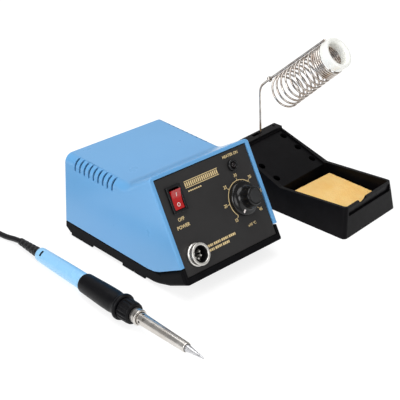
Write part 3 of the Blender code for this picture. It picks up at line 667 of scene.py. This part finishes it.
def make_cord():
    points = [*smooth_route(CORD_ROUTE, 4), *coil_route(), *smooth_route(TAIL_ROUTE, 4)]
    cord = wire("cord", points, CORD_RADIUS, JACKET, "iron", BENCH,
                "iron_cord iron_cord_coil iron_cord_tail")
    body = [(0, 32), (5.9, 32), (5.9, 30.5), (6.6, 30), (6.6, 15.3), (7.4, 15), (7.4, 6), (6.6, 5),
            (5, 4.5), (4.6, 1.2), (3.4, 0), (0, 0)]
    shell = piece("plug_shell", lathe(body, 0.3), PLATED, "iron", PLUG, "plug_body")
    coupling = [(7.7, 32.4), (8.1, 32), (8.1, 30.6), (7.7, 30.4), (7.7, 29.8), (8.1, 29.6), (8.1, 29),
                (8.1, 18.6), (8.1, 18), (7.7, 17.8), (7.7, 17), (8.1, 16.8), (8.1, 16), (7.7, 15.6),
                (6.9, 15.6), (6.9, 32.4)]
    ring = piece("plug_coupling", lathe(coupling, 0.15, 180, (45, 0.3, 18.2, 29.4)), PLATED, "plug_ring",
                 PLUG, "plug_ring")


# ---------------------------------------------------------------- power unit

def fillet_end():
    """Where the fillet behind the ramp runs into the straight ramp."""
    return RAMP_START - RAMP_FILLET * sin(radians(RAMP_ANGLE))


def cover_top(y):
    """Height of the cover's top: flat behind, then a fillet and a straight ramp up to the lip."""
    slope = radians(RAMP_ANGLE)
    if y >= RAMP_START:
        return UNIT_TOP
    if y >= fillet_end():
        return UNIT_TOP + RAMP_FILLET - sqrt(RAMP_FILLET ** 2 - (RAMP_START - y) ** 2)
    foot = UNIT_TOP + RAMP_FILLET * (1 - cos(slope))
    return foot + (fillet_end() - max(y, LIP_STATION)) * tan(slope)


def arch(y, inset):
    """One cross-section of the cover, from its lower left corner over the top to the lower right one."""
    half = UNIT_WIDTH / 2 - inset
    top = cover_top(y) - inset
    rise = (cover_top(y) - UNIT_TOP) / (LIP_TOP - UNIT_TOP)
    radius = EDGE_RADIUS + rise * (LIP_RADIUS - EDGE_RADIUS) - inset
    section = [(-half, -5)]
    for side in (-1, 1):
        for step in range(ARCH_STEPS + 1) if side < 0 else range(ARCH_STEPS, -1, -1):
            angle = radians(90 * step / ARCH_STEPS)
            across = half - radius + radius * cos(angle)
            section.append((side * across, top - radius + radius * sin(angle)))
    section.append((half, -5))
    return [(x, y, z) for x, z in section]


def cover_solid(inset, back, depth_in, rim_rounding=0):
    """The cover's outer form, or the space inside it, cut off parallel to the front panel."""
    reach = fillet_end() - RAMP_START
    fillet = [RAMP_START + reach * step / ARCH_STEPS for step in range(ARCH_STEPS + 1)]
    stations = [back, *fillet, LIP_STATION, BEYOND_PANEL]
    shape = bmesh.new()
    rings = [[shape.verts.new(point) for point in arch(y, inset)] for y in stations]
    for ring, following in zip(rings, rings[1:]):
        for k in range(len(ring)):
            other = (k + 1) % len(ring)
            shape.faces.new((ring[k], ring[other], following[other], following[k]))
    shape.faces.new(rings[0])
    shape.faces.new(list(reversed(rings[-1])))
    bmesh.ops.recalc_face_normals(shape, faces=shape.faces)
    lean = radians(PANEL_LEAN)
    outward = Vector((0, -cos(lean), sin(lean)))
    plane = Vector((0, *PANEL_FOOT)) - outward * depth_in
    cut = bmesh.ops.bisect_plane(shape, geom=[*shape.verts, *shape.edges, *shape.faces], plane_co=plane,
                                 plane_no=outward, clear_outer=True)
    rim = [edge for edge in cut["geom_cut"] if isinstance(edge, bmesh.types.BMEdge)]
    bmesh.ops.holes_fill(shape, edges=rim)
    if rim_rounding:
        bmesh.ops.bevel(shape, geom=rim, offset=rim_rounding, segments=4, profile=0.5, affect="EDGES")
    bmesh.ops.recalc_face_normals(shape, faces=shape.faces)
    return shape


UNIT_TO_PANEL = in_mm(BENCH).inverted() @ in_mm(PANEL)


def make_cover():
    behind = UNIT_BACK + 10
    seam = [(y, z + GAP) for y, z in SEAM[1:]]
    below = [(behind, SEAM[0][1] + GAP), *seam, (BEYOND_PANEL, 42), (BEYOND_PANEL, -20), (behind, -20)]
    opening = moved(box((-PANEL_WIDTH / 2, -30, -12), (PANEL_WIDTH / 2, PANEL_HEIGHT, 12)), UNIT_TO_PANEL)
    slots = bmesh.new()
    for side in (-1, 1):
        for k in range(SLOT_COUNT):
            y = SLOT_FIRST + k * SLOT_PITCH
            low_x, high_x = sorted((side * (UNIT_WIDTH / 2 - SLOT_OVER_TOP), side * (UNIT_WIDTH / 2 + 5)))
            low = (low_x, y - SLOT_WIDTH / 2, UNIT_TOP - SLOT_DOWN_SIDE)
            box(low, (high_x, y + SLOT_WIDTH / 2, UNIT_TOP + 5), slots)
    tools = cuts(cover_solid(COVER_WALL, behind, 3.6), prism(below, -UNIT_WIDTH, UNIT_WIDTH), opening,
                 slots)
    shape = worked(cover_solid(0, UNIT_BACK, 0, RIM_ROUNDING), tools, 0.35, 3)
    moulded("cover", shape, COVER, "station", BENCH, "top_cover")


def is_front_corner(a, b):
    """Whether an edge of the base runs down beside the panel, or from there back along the underside."""
    return abs(a.x - b.x) < 1 and max(a.y, b.y) < -40 and min(a.z, b.z) < BASE_UNDERSIDE[0][1] + 1


def make_base():
    outline = [*[(y, z - GAP) for y, z in SEAM], *BASE_UNDERSIDE]
    inside = [(73.5, 40), (73.5, 6), (-47, 6), (-72.5, 17), (-74.3, 20.5), (-62.4, 40)]
    front = moved(box((-PANEL_WIDTH / 2, 0, -12), (PANEL_WIDTH / 2, 40, 12)), UNIT_TO_PANEL)
    holes = bmesh.new()
    for place in SCREW_PLACES:
        rod(1.6, 0, 10, place, 32, holes)
    tools = cuts(prism(inside, -57.5, 57.5), front, holes)
    outer = bevel_edges(prism(outline, -UNIT_WIDTH / 2, UNIT_WIDTH / 2), is_front_corner, CORNER_BEVEL, 5)
    shape = worked(outer, tools, 0.5, 3, 30)
    moulded("base", shape, MOULDED, "station", BENCH, "base_tray")
    lugs = bmesh.new()
    for side in (-1, 1):
        low_x, high_x = sorted((side * (UNIT_WIDTH / 2 - 0.3), side * (UNIT_WIDTH / 2 - 2.2)))
        for y in LUG_PLACES:
            box((low_x, y - LUG_LENGTH / 2, GAP), (high_x, y + LUG_LENGTH / 2, 4), lugs)
    moulded("base_lugs", worked(lugs, (), 0.8, 3), MOULDED, "station", BENCH, slot="base_black")
    for k, place in enumerate(FOOT_PLACES):
        profile = [(0, 3.2), (7, 3.2), (7.5, 1), (6.5, 0), (3.2, 0), (2.6, 0.8), (0, 0.8)]
        foot = frame_at((*place, 0), (0, 0, 0), BENCH)
        piece(f"foot_pad_{k + 1}", lathe(profile, 0.4, 64), RUBBER, "station", foot, f"foot_{k + 1}")
    for k, place in enumerate(SCREW_PLACES):
        profile = [(0, 9.5), (1.3, 9.5), (1.3, 3.2), (2.9, 3.2), (2.9, 2.2), (2.2, 1.4), (0, 1.4)]
        cross = box((-1.8, -0.35, 0.5), (1.8, 0.35, 2.2))
        box((-0.35, -1.8, 0.5), (0.35, 1.8, 2.2), cross)
        shape = worked(lathe(profile, 0.25, 48), cuts(cross))
        piece(f"case_screw_head_{k + 1}", shape, SCREW, "station",
              frame_at((*place, 0), (0, 0, 20 * k), BENCH), f"case_screw_{k + 1}")


def band(shape, centre, inner, outer, start, stop, low, high, steps=72):
    """A flat ring, or a part of one, from one angle to another in degrees."""
    whole = abs(stop - start) >= 360
    corners = []
    for k in range(steps + (0 if whole else 1)):
        turn = radians(start + (stop - start) * k / steps)
        for radius, height in ((inner, low), (outer, low), (outer, high), (inner, high)):
            x, y = centre[0] + radius * cos(turn), centre[1] + radius * sin(turn)
            corners.append(shape.verts.new((x, y, height)))
    made = []
    for k in range(steps):
        near, far = 4 * k, (4 * k + 4) % len(corners)
        for side in range(4):
            other = (side + 1) % 4
            made.append(shape.faces.new((corners[near + side], corners[near + other], corners[far + other],
                                         corners[far + side])))
    if not whole:
        made.append(shape.faces.new(corners[:4]))
        made.append(shape.faces.new(corners[-4:]))
    bmesh.ops.recalc_face_normals(shape, faces=made)


def write(shape, text, size, at):
    """Printed lettering, centred on a place of the panel."""
    curve = bpy.data.curves.new("lettering", "FONT")
    curve.body = text
    curve.size = size
    curve.align_x = "CENTER"
    curve.align_y = "CENTER"
    curve.extrude = PRINT_DEPTH / 2
    curve.offset = LETTER_SPREAD
    curve.resolution_u = 4
    letters = shown("lettering", curve)
    letters.matrix_world = Matrix.Translation((*at, PRINT_LOW + PRINT_DEPTH / 2))
    bpy.context.view_layer.update()
    graph = bpy.context.evaluated_depsgraph_get()
    mesh = bpy.data.meshes.new_from_object(letters.evaluated_get(graph))
    mesh.transform(letters.matrix_world)
    shape.from_mesh(mesh)
    bpy.data.objects.remove(letters)
    bpy.data.meshes.remove(mesh)


def print_row(shape, left, pitch, widths, low_edge, high_edge):
    """A row of printed bars, each with its own width."""
    for k, width in enumerate(widths):
        start = left + pitch * k
        box((start, low_edge, PRINT_LOW), (start + width, high_edge, PRINT_LOW + PRINT_DEPTH), shape)


def make_print():
    """The panel's print: a dial scale, plain words, and bars where a label and a mark would be."""
    low, high = PRINT_LOW, PRINT_LOW + PRINT_DEPTH
    scale = bmesh.new()
    x, v = DIAL_AT
    band(scale, DIAL_AT, *SCALE_RING, DIAL_FIRST, DIAL_FIRST - DIAL_RANGE, low, high)
    for k in range(SCALE_MARKS):
        angle = radians(DIAL_FIRST - DIAL_RANGE / (SCALE_MARKS - 1) * k)
        tick = box((TICK_REACH[0], -TICK_WIDTH / 2, low), (TICK_REACH[1], TICK_WIDTH / 2, high))
        add(scale, moved(tick, Matrix.Translation((x, v, 0)) @ Matrix.Rotation(angle, 4, "Z")))
        place = (x + NUMBER_REACH[0] * cos(angle), v + NUMBER_REACH[1] * sin(angle))
        write(scale, str(15 + 5 * k), 4, place)
    for text, size, place in PANEL_WORDS:
        write(scale, text, size, place)
    for middle, stop in LABEL_LINES:
        widths = [1.1 if k % 4 == 3 else 1.8 for k in range(int((stop - LABEL_LEFT) / LABEL_PITCH))]
        print_row(scale, LABEL_LEFT, LABEL_PITCH, widths, middle - 1.1, middle + 1.1)
    left, right = MARK_SPAN
    print_row(scale, left, 0, [right - left], 75, 75.6)
    print_row(scale, left, 0, [right - left], 69.4, 70)
    print_row(scale, left, MARK_PITCH, [1.3] * 18, 70.6, 74.4)
    print_row(scale, left + 1.5, LABEL_PITCH, [1.6] * 7, 65.9, 67.1)
    piece("panel_print", scale, PRINT, "station", PANEL, sharp=20)


def make_panel():
    half = PANEL_WIDTH / 2 - PLATE_MARGIN
    holes = bmesh.new()
    box((SWITCH_AT[0] - 6.9, SWITCH_AT[1] - 10.9, -8), (SWITCH_AT[0] + 6.9, SWITCH_AT[1] + 10.9, 8), holes)
    rod(8, -8, 8, SOCKET_AT, 64, holes)
    rod(4.3, -8, 8, LED_AT, 48, holes)
    rod(5, -8, 8, DIAL_AT, 48, holes)
    plate = box((-half, GAP, -3), (half, PANEL_HEIGHT - PLATE_MARGIN, PANEL_FACE))
    shape = worked(plate, cuts(holes), 0.2)
    moulded("panel_plate", shape, PLATE, "station", PANEL, "front_panel")
    make_print()


def make_switch():
    x, v = SWITCH_AT
    body = box((x - 8.1, v - 11.7, PANEL_FACE + GAP), (x + 8.1, v + 11.7, 1.2))
    behind = box((x - 6.6, v - 10.6, -17), (x + 6.6, v + 10.6, 0))
    pocket = box((x - 5.75, v - 9.5, -9.8), (x + 5.75, v + 9.5, 5))
    shape = worked(body, [*joins(behind), *cuts(pocket)], 0.45, 3)
    moulded("switch_frame", shape, GLOSS_BLACK, "station", PANEL, "switch_housing")
    side = [(8.7 * t, 1.8 + 1.3 * t * t) for t in (k / 6 for k in range(-6, 7))]
    side += [(7, -3), (2.5, -6.5), (-2.5, -6.5), (-7, -3)]
    key = frame_at((x, v, PANEL_FACE), (ROCKER_TILT, 0, 0), PANEL)
    shape = worked(prism(side, -5.35, 5.35), (), 0.4, 3)
    moulded("rocker_key", shape, ROCKER, "rocker", key, "power_rocker")
    marks = bmesh.new()
    band(marks, (0, 0), 1.15, 1.7, 0, 360, 0, 0.12, 40)
    moved(marks, Matrix.Translation((0, -4.6, 2.22)) @ Matrix.Rotation(radians(-8.9), 4, "X"))
    bar = moved(box((-0.3, -1.7, 0), (0.3, 1.7, 0.12)),
                Matrix.Translation((0, 4.3, 2.16)) @ Matrix.Rotation(radians(8.4), 4, "X"))
    add(marks, bar)
    piece("rocker_marks", marks, WHITE_PRINT, "rocker", key)


def make_socket():
    place = frame_at((*SOCKET_AT, 0), (0, 0, 0), PANEL)
    shell = [(9.4, 6.2), (9.8, 5.8), (9.8, 5), (9.3, 4.5), (9.3, 1.3), (10.1, 0.7), (10.1, -0.7),
             (7.6, -0.7), (7.6, -12), (6.9, -12), (6.9, -3.8), (7.4, -3.3), (7.4, 5.8), (7.8, 6.2)]
    piece("socket_barrel", lathe(shell, 0.25), PLATED, "station", place, "socket_shell")
    lining = [(7.3, 5.7), (7.3, -3.2), (6.9, -3.2), (6.9, 5.4)]
    piece("socket_lining", lathe(lining, 0.1), GLOSS_BLACK, "station", place)
    insert = [(0, -4), (2.2, -4), (2.2, -4.4), (2.8, -4.4), (2.8, -4), (6.5, -4), (6.5, -11), (0, -11)]
    piece("socket_core", lathe(insert, 0.15, 64), GLOSS_BLACK, "station", place, "socket_insert")
    for k in range(5):
        angle = radians(90 + 60 * (k - 2))
        at = (SOCKET_AT[0] + 3.7 * cos(angle), SOCKET_AT[1] - 3.7 * sin(angle), 0)
        pin = [(0, 1.4), (0.7, 1.25), (1.05, 0.7), (1.05, -3.7), (0, -3.7)]
        piece(f"socket_contact_{k + 1}", lathe(pin, 0.15, 32), PIN_METAL, "station",
              frame_at(at, (0, 0, 0), PANEL), f"socket_pin_{k + 1}", "plated_metal")
    nut = worked(rod(11, -6.6, -3.3, segments=6), cuts(rod(7.95, -9, 0, segments=64)), 0.4)
    moulded("socket_hex", nut, PLATED, "station", place, "socket_nut")


def make_heater_light():
    place = frame_at((*LED_AT, 0), (0, 0, 0), PANEL)
    bezel = [(4.6, 1.7), (5.2, 1.1), (5.2, -0.7), (4, -0.7), (4, -9), (3, -9), (3, 0.9), (3.6, 1.7)]
    piece("light_bezel", lathe(bezel, 0.3, 64), GLOSS_BLACK, "station", place, "led_holder")
    turns = [radians(angle) for angle in range(0, 91, 10)]
    dome = [(2.6 * sin(turn), 0.6 + 2.4 * cos(turn)) for turn in turns]
    piece("light_dome", lathe([*dome, (2.6, -7), (0, -7)], 0.1, 48), LENS, "station", place, "led_lens")


def make_dial():
    place = frame_at((*DIAL_AT, 0), (0, 0, 0), PANEL)
    body = [(4.5, 1.8), (4.5, -3.4), (8.6, -3.4), (8.6, -14), (0, -14), (0, -12.2), (3.3, -12.2),
            (3.3, 1.8)]
    piece("dial_control", lathe(body, 0.2, 64), PLATED, "station", place, "pot_body")
    nut = worked(rod(6.6, -0.7, 1.5, segments=6), cuts(rod(4.85, -5, 5, segments=64)), 0.25)
    moulded("dial_hex", nut, PLATED, "station", place, "pot_nut")
    piece("dial_spindle", lathe([(0, 10.6), (3, 10.6), (3, -11.8), (0, -11.8)], 0.4, 48), PLATED, "dial",
          place, "pot_shaft")
    waist = smooth_route([(8.55, 0, 13.2), (8.7, 0, 9.5), (9.6, 0, 6), (11.4, 0, 3.9), (13.8, 0, 3)], 0.6)
    knob = [(0, 15.1), (6.4, 15.1), (6.7, 15.4), (7.4, 15.4), (8.3, 14.8), *[(p.x, p.z) for p in waist],
            (14.8, 2.5), (15.5, 1.4), (15.5, -0.3), (12, -0.3), (9.5, 2.2), (3.3, 2.2), (3.3, 11), (0, 11)]
    piece("dial_knob", lathe(knob, 0.35, 128), KNOB, "dial", place, "temperature_knob")
    piece("dial_cap", lathe([(0, 15.35), (6.2, 15.35), (6.2, 15.12), (0, 15.12)], 0.1, 96), KNOB_FACE,
          "dial", place)
    make_pointer(place, waist)


def make_pointer(place, waist):
    """A white mark that lies on the slope of the dial's skirt."""
    middle = radians(DIAL_FIRST + 10)
    slope = [point for point in waist if POINTER_REACH[0] < point.x < POINTER_REACH[1]]
    shape = bmesh.new()
    rows = []
    for point in slope:
        half = POINTER_WIDTH / 2 / point.x
        turns = [middle + half * (step / 4 - 1) for step in range(9)]
        corners = [(point.x * cos(turn), point.x * sin(turn), point.z) for turn in turns]
        rows.append([shape.verts.new(corner) for corner in corners])
    made = [shape.faces.new((near[k], near[k + 1], far[k + 1], far[k]))
            for near, far in zip(rows, rows[1:]) for k in range(8)]
    bmesh.ops.recalc_face_normals(shape, faces=made)
    if made[0].normal.z < 0:
        bmesh.ops.reverse_faces(shape, faces=made)
    bmesh.ops.solidify(shape, geom=made, thickness=-0.12)
    piece("dial_pointer", shape, WHITE_PRINT, "dial", place)


def make_back():
    """The rear panel with its mains inlet and fuse holder."""
    half = UNIT_WIDTH / 2 - COVER_WALL - 0.8
    top = UNIT_TOP - COVER_WALL - GAP
    plate = box((-half, 70, 6.4), (half, 72, top))
    bevel_edges(plate, lambda a, b: a.z > top - 1 and b.z > top - 1 and abs(a.x - b.x) < 0.1, 5.8, 8)
    fuse = frame_at((20, 72, 34), (-90, 0, 0))
    bore = moved(rod(6.6, -10, 10, segments=64), in_mm(fuse))
    tools = cuts(box((-42, 60, 23.6), (-14, 80, 44.4)), bore)
    moulded("back_plate", worked(plate, tools, 0.2), MOULDED, "station", BENCH, "rear_panel")
    flange = box((-44, 72.3, 21.5), (-12, 75, 46.5))
    behind = box((-41.7, 52, 23.9), (-14.3, 73, 44.1))
    recess = box((-40.3, 56, 25.6), (-15.7, 80, 42.4))
    blades = bmesh.new()
    for across, up in ((-7, -1.5), (0, 1.5), (7, -1.5)):
        box((-28 + across - 1, 54, 34 + up - 2), (-28 + across + 1, 67, 34 + up + 2), blades)
    shape = worked(flange, [*joins(behind), *cuts(recess)], 0.5, 3)
    moulded("inlet_frame", shape, GLOSS_BLACK, "station", BENCH, "mains_inlet")
    moulded("inlet_blades", worked(blades, (), 0.25), PLATED, "station", BENCH, slot="plated_metal")
    place = BENCH @ fuse
    holder = [(8.2, 2.4), (8.2, GAP), (6.3, GAP), (6.3, -24), (0, -24), (0, -22.6), (4.6, -22.6),
              (4.6, 2.4)]
    piece("fuse_barrel", lathe(holder, 0.3, 64), GLOSS_BLACK, "station", place, "fuse_holder")
    cap = [(0, 7.6), (5.6, 7.6), (6.2, 7), (6.2, 6.2), (6.2, 3.5), (6.2, 2.7), (4.2, 2.7), (4.2, -4),
           (0, -4)]
    shape = worked(lathe(cap, 0.3, 96, (24, 0.3, 3.2, 6.8)), cuts(box((-5, -0.6, 6.4), (5, 0.6, 9))))
    piece("fuse_knob", shape, GLOSS_BLACK, "fuse_cap", place, "fuse_cap")


def dress_insides():
    """The parts inside the case keep their CAD shapes, with rounded edges and their own finishes."""
    finishes = {"transformer_core": CORE, "transformer_winding": WINDING, "circuit_board": BOARD,
                "heatsink": SINK, "heating_element": ELEMENT, "stand_base_plate": STAND_BLACK}
    for name, surface in finishes.items():
        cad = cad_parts[name]
        cad.data.materials.clear()
        cad.data.materials.append(surface)
        weld = cad.modifiers.new("Weld", "WELD")
        weld.merge_threshold = 0.00001
        bevel = cad.modifiers.new("Round", "BEVEL")
        bevel.width = 0.25 * MM
        bevel.limit_method = "ANGLE"
        bevel.angle_limit = radians(50)


# ---------------------------------------------------------------- stand

def rim_height(y):
    """Height of the stand's side walls along its depth."""
    share = (y - RIM_LOW[0]) / (RIM_HIGH[0] - RIM_LOW[0])
    return RIM_LOW[1] + share * (RIM_HIGH[1] - RIM_LOW[1])


def make_stand():
    middle = STAND_WIDTH / 2
    side = [(0, 0), (3.2, 19), RIM_FRONT, RIM_LOW, RIM_HIGH, (RIM_HIGH[0], BLOCK_TOP),
            (STAND_DEPTH - 2, BLOCK_TOP), (STAND_DEPTH, 0)]
    shape = prism(side, 0, STAND_WIDTH)
    for corner in shape.verts:
        half = middle - STAND_FLARE * corner.co.z
        corner.co.x = middle + copysign(half, corner.co.x - middle)
    bevel_edges(shape, lambda a, b: abs(a.x - b.x) < 4 and max(a.y, b.y) < 6 and abs(a.z - b.z) > 1, 4, 4)
    left, right, front, back, floor = WELL
    well = box((left, front, floor), (right, back, 60))
    bevel_edges(well, lambda a, b: abs(a.z - b.z) > 9, 2.5, 4)
    under_low, under_high = rim_height(83.5) - 3.8, rim_height(133) - 3.8
    hollow = [(5.5, -1), (5.5, 4.2), (83.5, 4.2), (83.5, under_low), (133, under_high), (145, under_high),
              (145, -1)]
    dish = [(79, 60), (79, rim_height(79) - 1.5), (135, rim_height(135) - 1.5), (135, 60)]
    pocket = box((9, -3, 20.4), (STAND_WIDTH - 9, 5.6, 27.4))
    holes = bmesh.new()
    for x in HOLE_COLUMNS:
        for y in HOLE_ROWS:
            rod(HOLE_RADIUS, 0, 60, (x, y), 48, holes)
    rod(ROD_RADIUS + GAP, 30, 60, ROD_AT, 24, holes)
    rod(ROD_RADIUS + GAP, 30, 60, (ROD_AT[0] + SPARE_HOLE_OFFSET, ROD_AT[1]), 24, holes)
    slot = box((ROD_AT[0] - 12.5, ROD_AT[1] - 1.8, BLOCK_TOP - 4), (ROD_AT[0] - 2.4, ROD_AT[1] + 1.8, 60))
    notch = moved(rod(7, -3, 12, segments=64),
                  Matrix.Translation((33, 0, 32.5)) @ Matrix.Rotation(radians(-90), 4, "X"))
    tools = cuts(well, prism(hollow, 8.5, STAND_WIDTH - 8.5), prism(dish, 9.5, STAND_WIDTH - 9.5), pocket,
                 holes, slot, notch)
    shape = worked(shape, tools, 0.4, 2, 30)
    moulded("stand_shell", shape, STAND_BLACK, "stand", STAND, "stand_body")


def make_sponge():
    """A block of cellulose sponge with soft edges, a gently uneven surface and shallow pits."""
    wide, deep, high = SPONGE_SIZE
    place = frame_at((*SPONGE_AT, WELL[4] + GAP + high / 2), (0, 0, SPONGE_TURN), STAND)
    half = Vector((wide, deep, high)) / 2 - Vector((0.25, 0.25, 0.25))
    shape = bmesh.new()
    bmesh.ops.create_cube(shape, size=2)
    bmesh.ops.subdivide_edges(shape, edges=shape.edges, cuts=63, use_grid_fill=True)
    for corner in shape.verts:
        point = Vector([value * size for value, size in zip(corner.co, half)])
        core = Vector([max(SPONGE_EDGE - size, min(size - SPONGE_EDGE, value))
                       for value, size in zip(point, half)])
        off = point - core
        normal = off.normalized() if off.length > 1e-6 else Vector((0, 0, 1))
        point = core + normal * SPONGE_EDGE
        ripple = 0.22 * noise.noise(point * 0.09) + 0.1 * noise.noise(point * 0.35)
        pit = max(0, noise.noise(point * 1.1 + Vector((31, 7, 3))) - 0.22) * 1.1
        corner.co = point + normal * (ripple - min(pit, 0.5))
    made = piece("sponge_pad", shape, SPONGE, "sponge", place, "sponge", sharp=60)


def along_coil(s, out):
    """A point of the stand's middle plane: s along the coil's axis, out from it towards the back."""
    rise = radians(COIL_RISE)
    y = COIL_BASE[0] - s * cos(rise) + out * sin(rise)
    z = COIL_BASE[1] + s * sin(rise) + out * cos(rise)
    return (ROD_AT[0], y, z)


def coil_points():
    """The coil's wire: open turns from its lower end, then tight ones up to the collar."""
    rise = radians(COIL_RISE)
    axis = Vector((0, -cos(rise), sin(rise)))
    ridge = Vector((0, sin(rise), cos(rise)))
    across = Vector((1, 0, 0))
    base = Vector((ROD_AT[0], *COIL_BASE))
    tight_length = TIGHT_TURNS * TIGHT_PITCH
    open_length = COIL_LENGTH - tight_length
    points = []
    for k in range(round((OPEN_TURNS + TIGHT_TURNS) * POINTS_A_TURN) + 1):
        turn = k / POINTS_A_TURN
        s = open_length * min(turn / OPEN_TURNS, 1) + TIGHT_PITCH * max(turn - OPEN_TURNS, 0)
        share = s / COIL_LENGTH
        radius = COIL_RADII[0] + share * (COIL_RADII[1] - COIL_RADII[0])
        out = ROD_OUT - ROD_RADIUS - COIL_WIRE - GAP - radius
        tilt = radians(COIL_TILTS[0] + share * (COIL_TILTS[1] - COIL_TILTS[0]))
        sideways = across * cos(tilt) + axis * sin(tilt)
        angle = 2 * pi * turn
        centre = base + axis * s + ridge * out
        points.append(centre + (ridge * cos(angle) + sideways * sin(angle)) * radius)
    return points


def make_holder():
    x, y = ROD_AT
    route = [(x, y, 36), (x, y, 46), (x, y + 1.2, 60), (x, y + 2.8, 76), (x, y + 3.8, 87),
             (x, y + 3.5, 91.5), (x, y + 2.2, 95), (x, y - 0.6, 98.4), along_coil(-7, ROD_OUT),
             along_coil(20, ROD_OUT), along_coil(50, ROD_OUT), along_coil(74.5, ROD_OUT)]
    wire("holder_stem", smooth_route(route, 1.5), ROD_RADIUS, NICKEL, "stand", STAND, "holder_rod",
         resolution=6, blunt=True)
    wire("holder_spiral", coil_points(), COIL_WIRE, NICKEL, "stand", STAND, "holder_coil", blunt=True)
    turns = [radians(angle) for angle in range(90, -91, -15)]
    bead = [(1.7 + 1.1 * cos(turn), 1.6 * sin(turn)) for turn in turns]
    place = frame_at(along_coil(-7, ROD_OUT), (90 - COIL_RISE, 0, 0), STAND)
    piece("stem_bead", lathe(bead, 0.05, 48), NICKEL, "stand", place, "rod_bead")
    inner, outer = COLLAR_RADII
    ring = [(outer - 0.8, COLLAR_LENGTH), (outer, COLLAR_LENGTH - 0.8), (outer, 0.8), (outer - 0.8, 0),
            (inner, 0), (inner, COLLAR_LENGTH - 2.2), (inner + 1.6, COLLAR_LENGTH)]
    at = along_coil(COIL_LENGTH + COIL_WIRE + GAP, ROD_OUT - ROD_RADIUS - GAP - outer)
    place = frame_at(at, (90 - COIL_RISE, 0, 0), STAND)
    piece("ceramic_collar", lathe(ring, 1), CERAMIC, "stand", place, "holder_collar")


# ---------------------------------------------------------------- iron

def make_iron():
    handle = [(0, HANDLE_END), (6.6, HANDLE_END), (7.4, HANDLE_END - 1.5), (7.2, 40), (6.7, 12), (6.5, 2.2),
              (6.2, 0.6), (5.4, 0), (0, 0)]
    piece("iron_shaft", lathe(handle, 0.8), HANDLE, "iron", IRON, "iron_handle")
    end = GRIP_END
    grip = [(0, 104), (2.5, 104), (2.5, end), (10.6, end), (11.5, end - 0.9), (11.5, end - 3),
            (10.8, end - 3.8), (9.6, end - 5), (9.3, end - 8), (9.8, end - 14), (9.7, end - 24),
            (9, HANDLE_END + 10), (8.7, HANDLE_END + 2), (8, HANDLE_END + GAP), (0, HANDLE_END + GAP)]
    piece("iron_sleeve", lathe(grip, 0.8), GRIP, "iron", IRON, "iron_grip")
    end = GUARD_NUT_END
    guard = [(5.6, end), (8.4, end), (9.2, end - 0.8), (9.5, end - 3), (9.6, GRIP_END + 2),
             (9.2, GRIP_END + GAP), (5.6, GRIP_END + GAP)]
    ribs = (16, 0.9, GRIP_END + 1.6, end - 1.2)
    piece("guard_collar", lathe(guard, 0.6, 192, ribs), GRIP, "iron", IRON, "guard_nut")
    ferrule = [(6.2, BARREL_NUT_END), (6.9, BARREL_NUT_END - 0.6), (6.9, BARREL_NUT_END - 2),
               (6.4, BARREL_NUT_END - 2.6), (6.4, GUARD_NUT_END + 0.5), (5.5, GUARD_NUT_END + 0.5),
               (5.5, BARREL_NUT_END)]
    piece("barrel_ferrule", lathe(ferrule, 0.3), STEEL, "barrel_nut", IRON, "barrel_nut")
    barrel = [(4, BARREL_END), (4.2, BARREL_END - 0.6), (5.1, GUARD_NUT_END + 10), (5.1, GRIP_END + 3),
              (4.4, GRIP_END + 3), (4.4, GUARD_NUT_END + 10), (3.5, BARREL_END - 3), (3.5, BARREL_END)]
    vents = bmesh.new()
    for s, first in ((141, 0), (145, 45)):
        for k in range(2):
            angle = Matrix.Rotation(radians(first + 90 * k), 4, "Z")
            place = Matrix.Translation((0, 0, s)) @ angle @ Matrix.Rotation(radians(90), 4, "X")
            bmesh.ops.create_cone(vents, cap_ends=True, segments=24, radius1=1.1, radius2=1.1, depth=16,
                                  matrix=place)
    shape = worked(lathe(barrel, 0.25), cuts(vents))
    piece("barrel_tube", shape, STEEL, "barrel", IRON, "heater_barrel")
    tip = [(0, TIP_END), (0.5, TIP_END - 0.2), (1.2, TIP_END - 5), (2.7, BARREL_END + 3),
           (3.1, BARREL_END + 1.5), (3.1, 150), (2.5, 150), (2.5, 186), (0, 186)]
    piece("soldering_tip", lathe(tip, 0.4), TINNED, "barrel", IRON, "iron_tip")
    boot = [(0, -GAP), (4.6, -GAP)]
    for k in range(5):
        s = -3.0 - 5.2 * k
        radius = 4.6 - 0.26 * k
        boot += [(radius, s), (radius - 0.7, s - 0.5), (radius - 0.7, s - 1.9), (radius - 0.1, s - 2.4)]
    boot += [(3.3, -BOOT_LENGTH), (0, -BOOT_LENGTH)]
    piece("strain_relief", lathe(boot, 0.3, 64), JACKET, "iron", IRON, "iron_boot")
    mark = bmesh.new()
    band(mark, (0, 0), 6.3, 6.75, 104, 150, 6.6, 8.6, 16)
    piece("handle_mark", mark, GRIP, "iron", IRON)


make_camera()
make_studio()
make_cord()
make_cover()
make_base()
make_panel()
make_switch()
make_socket()
make_heater_light()
make_dial()
make_back()
dress_insides()
make_stand()
make_sponge()
make_holder()
make_iron()

bpy.context.view_layer.update()
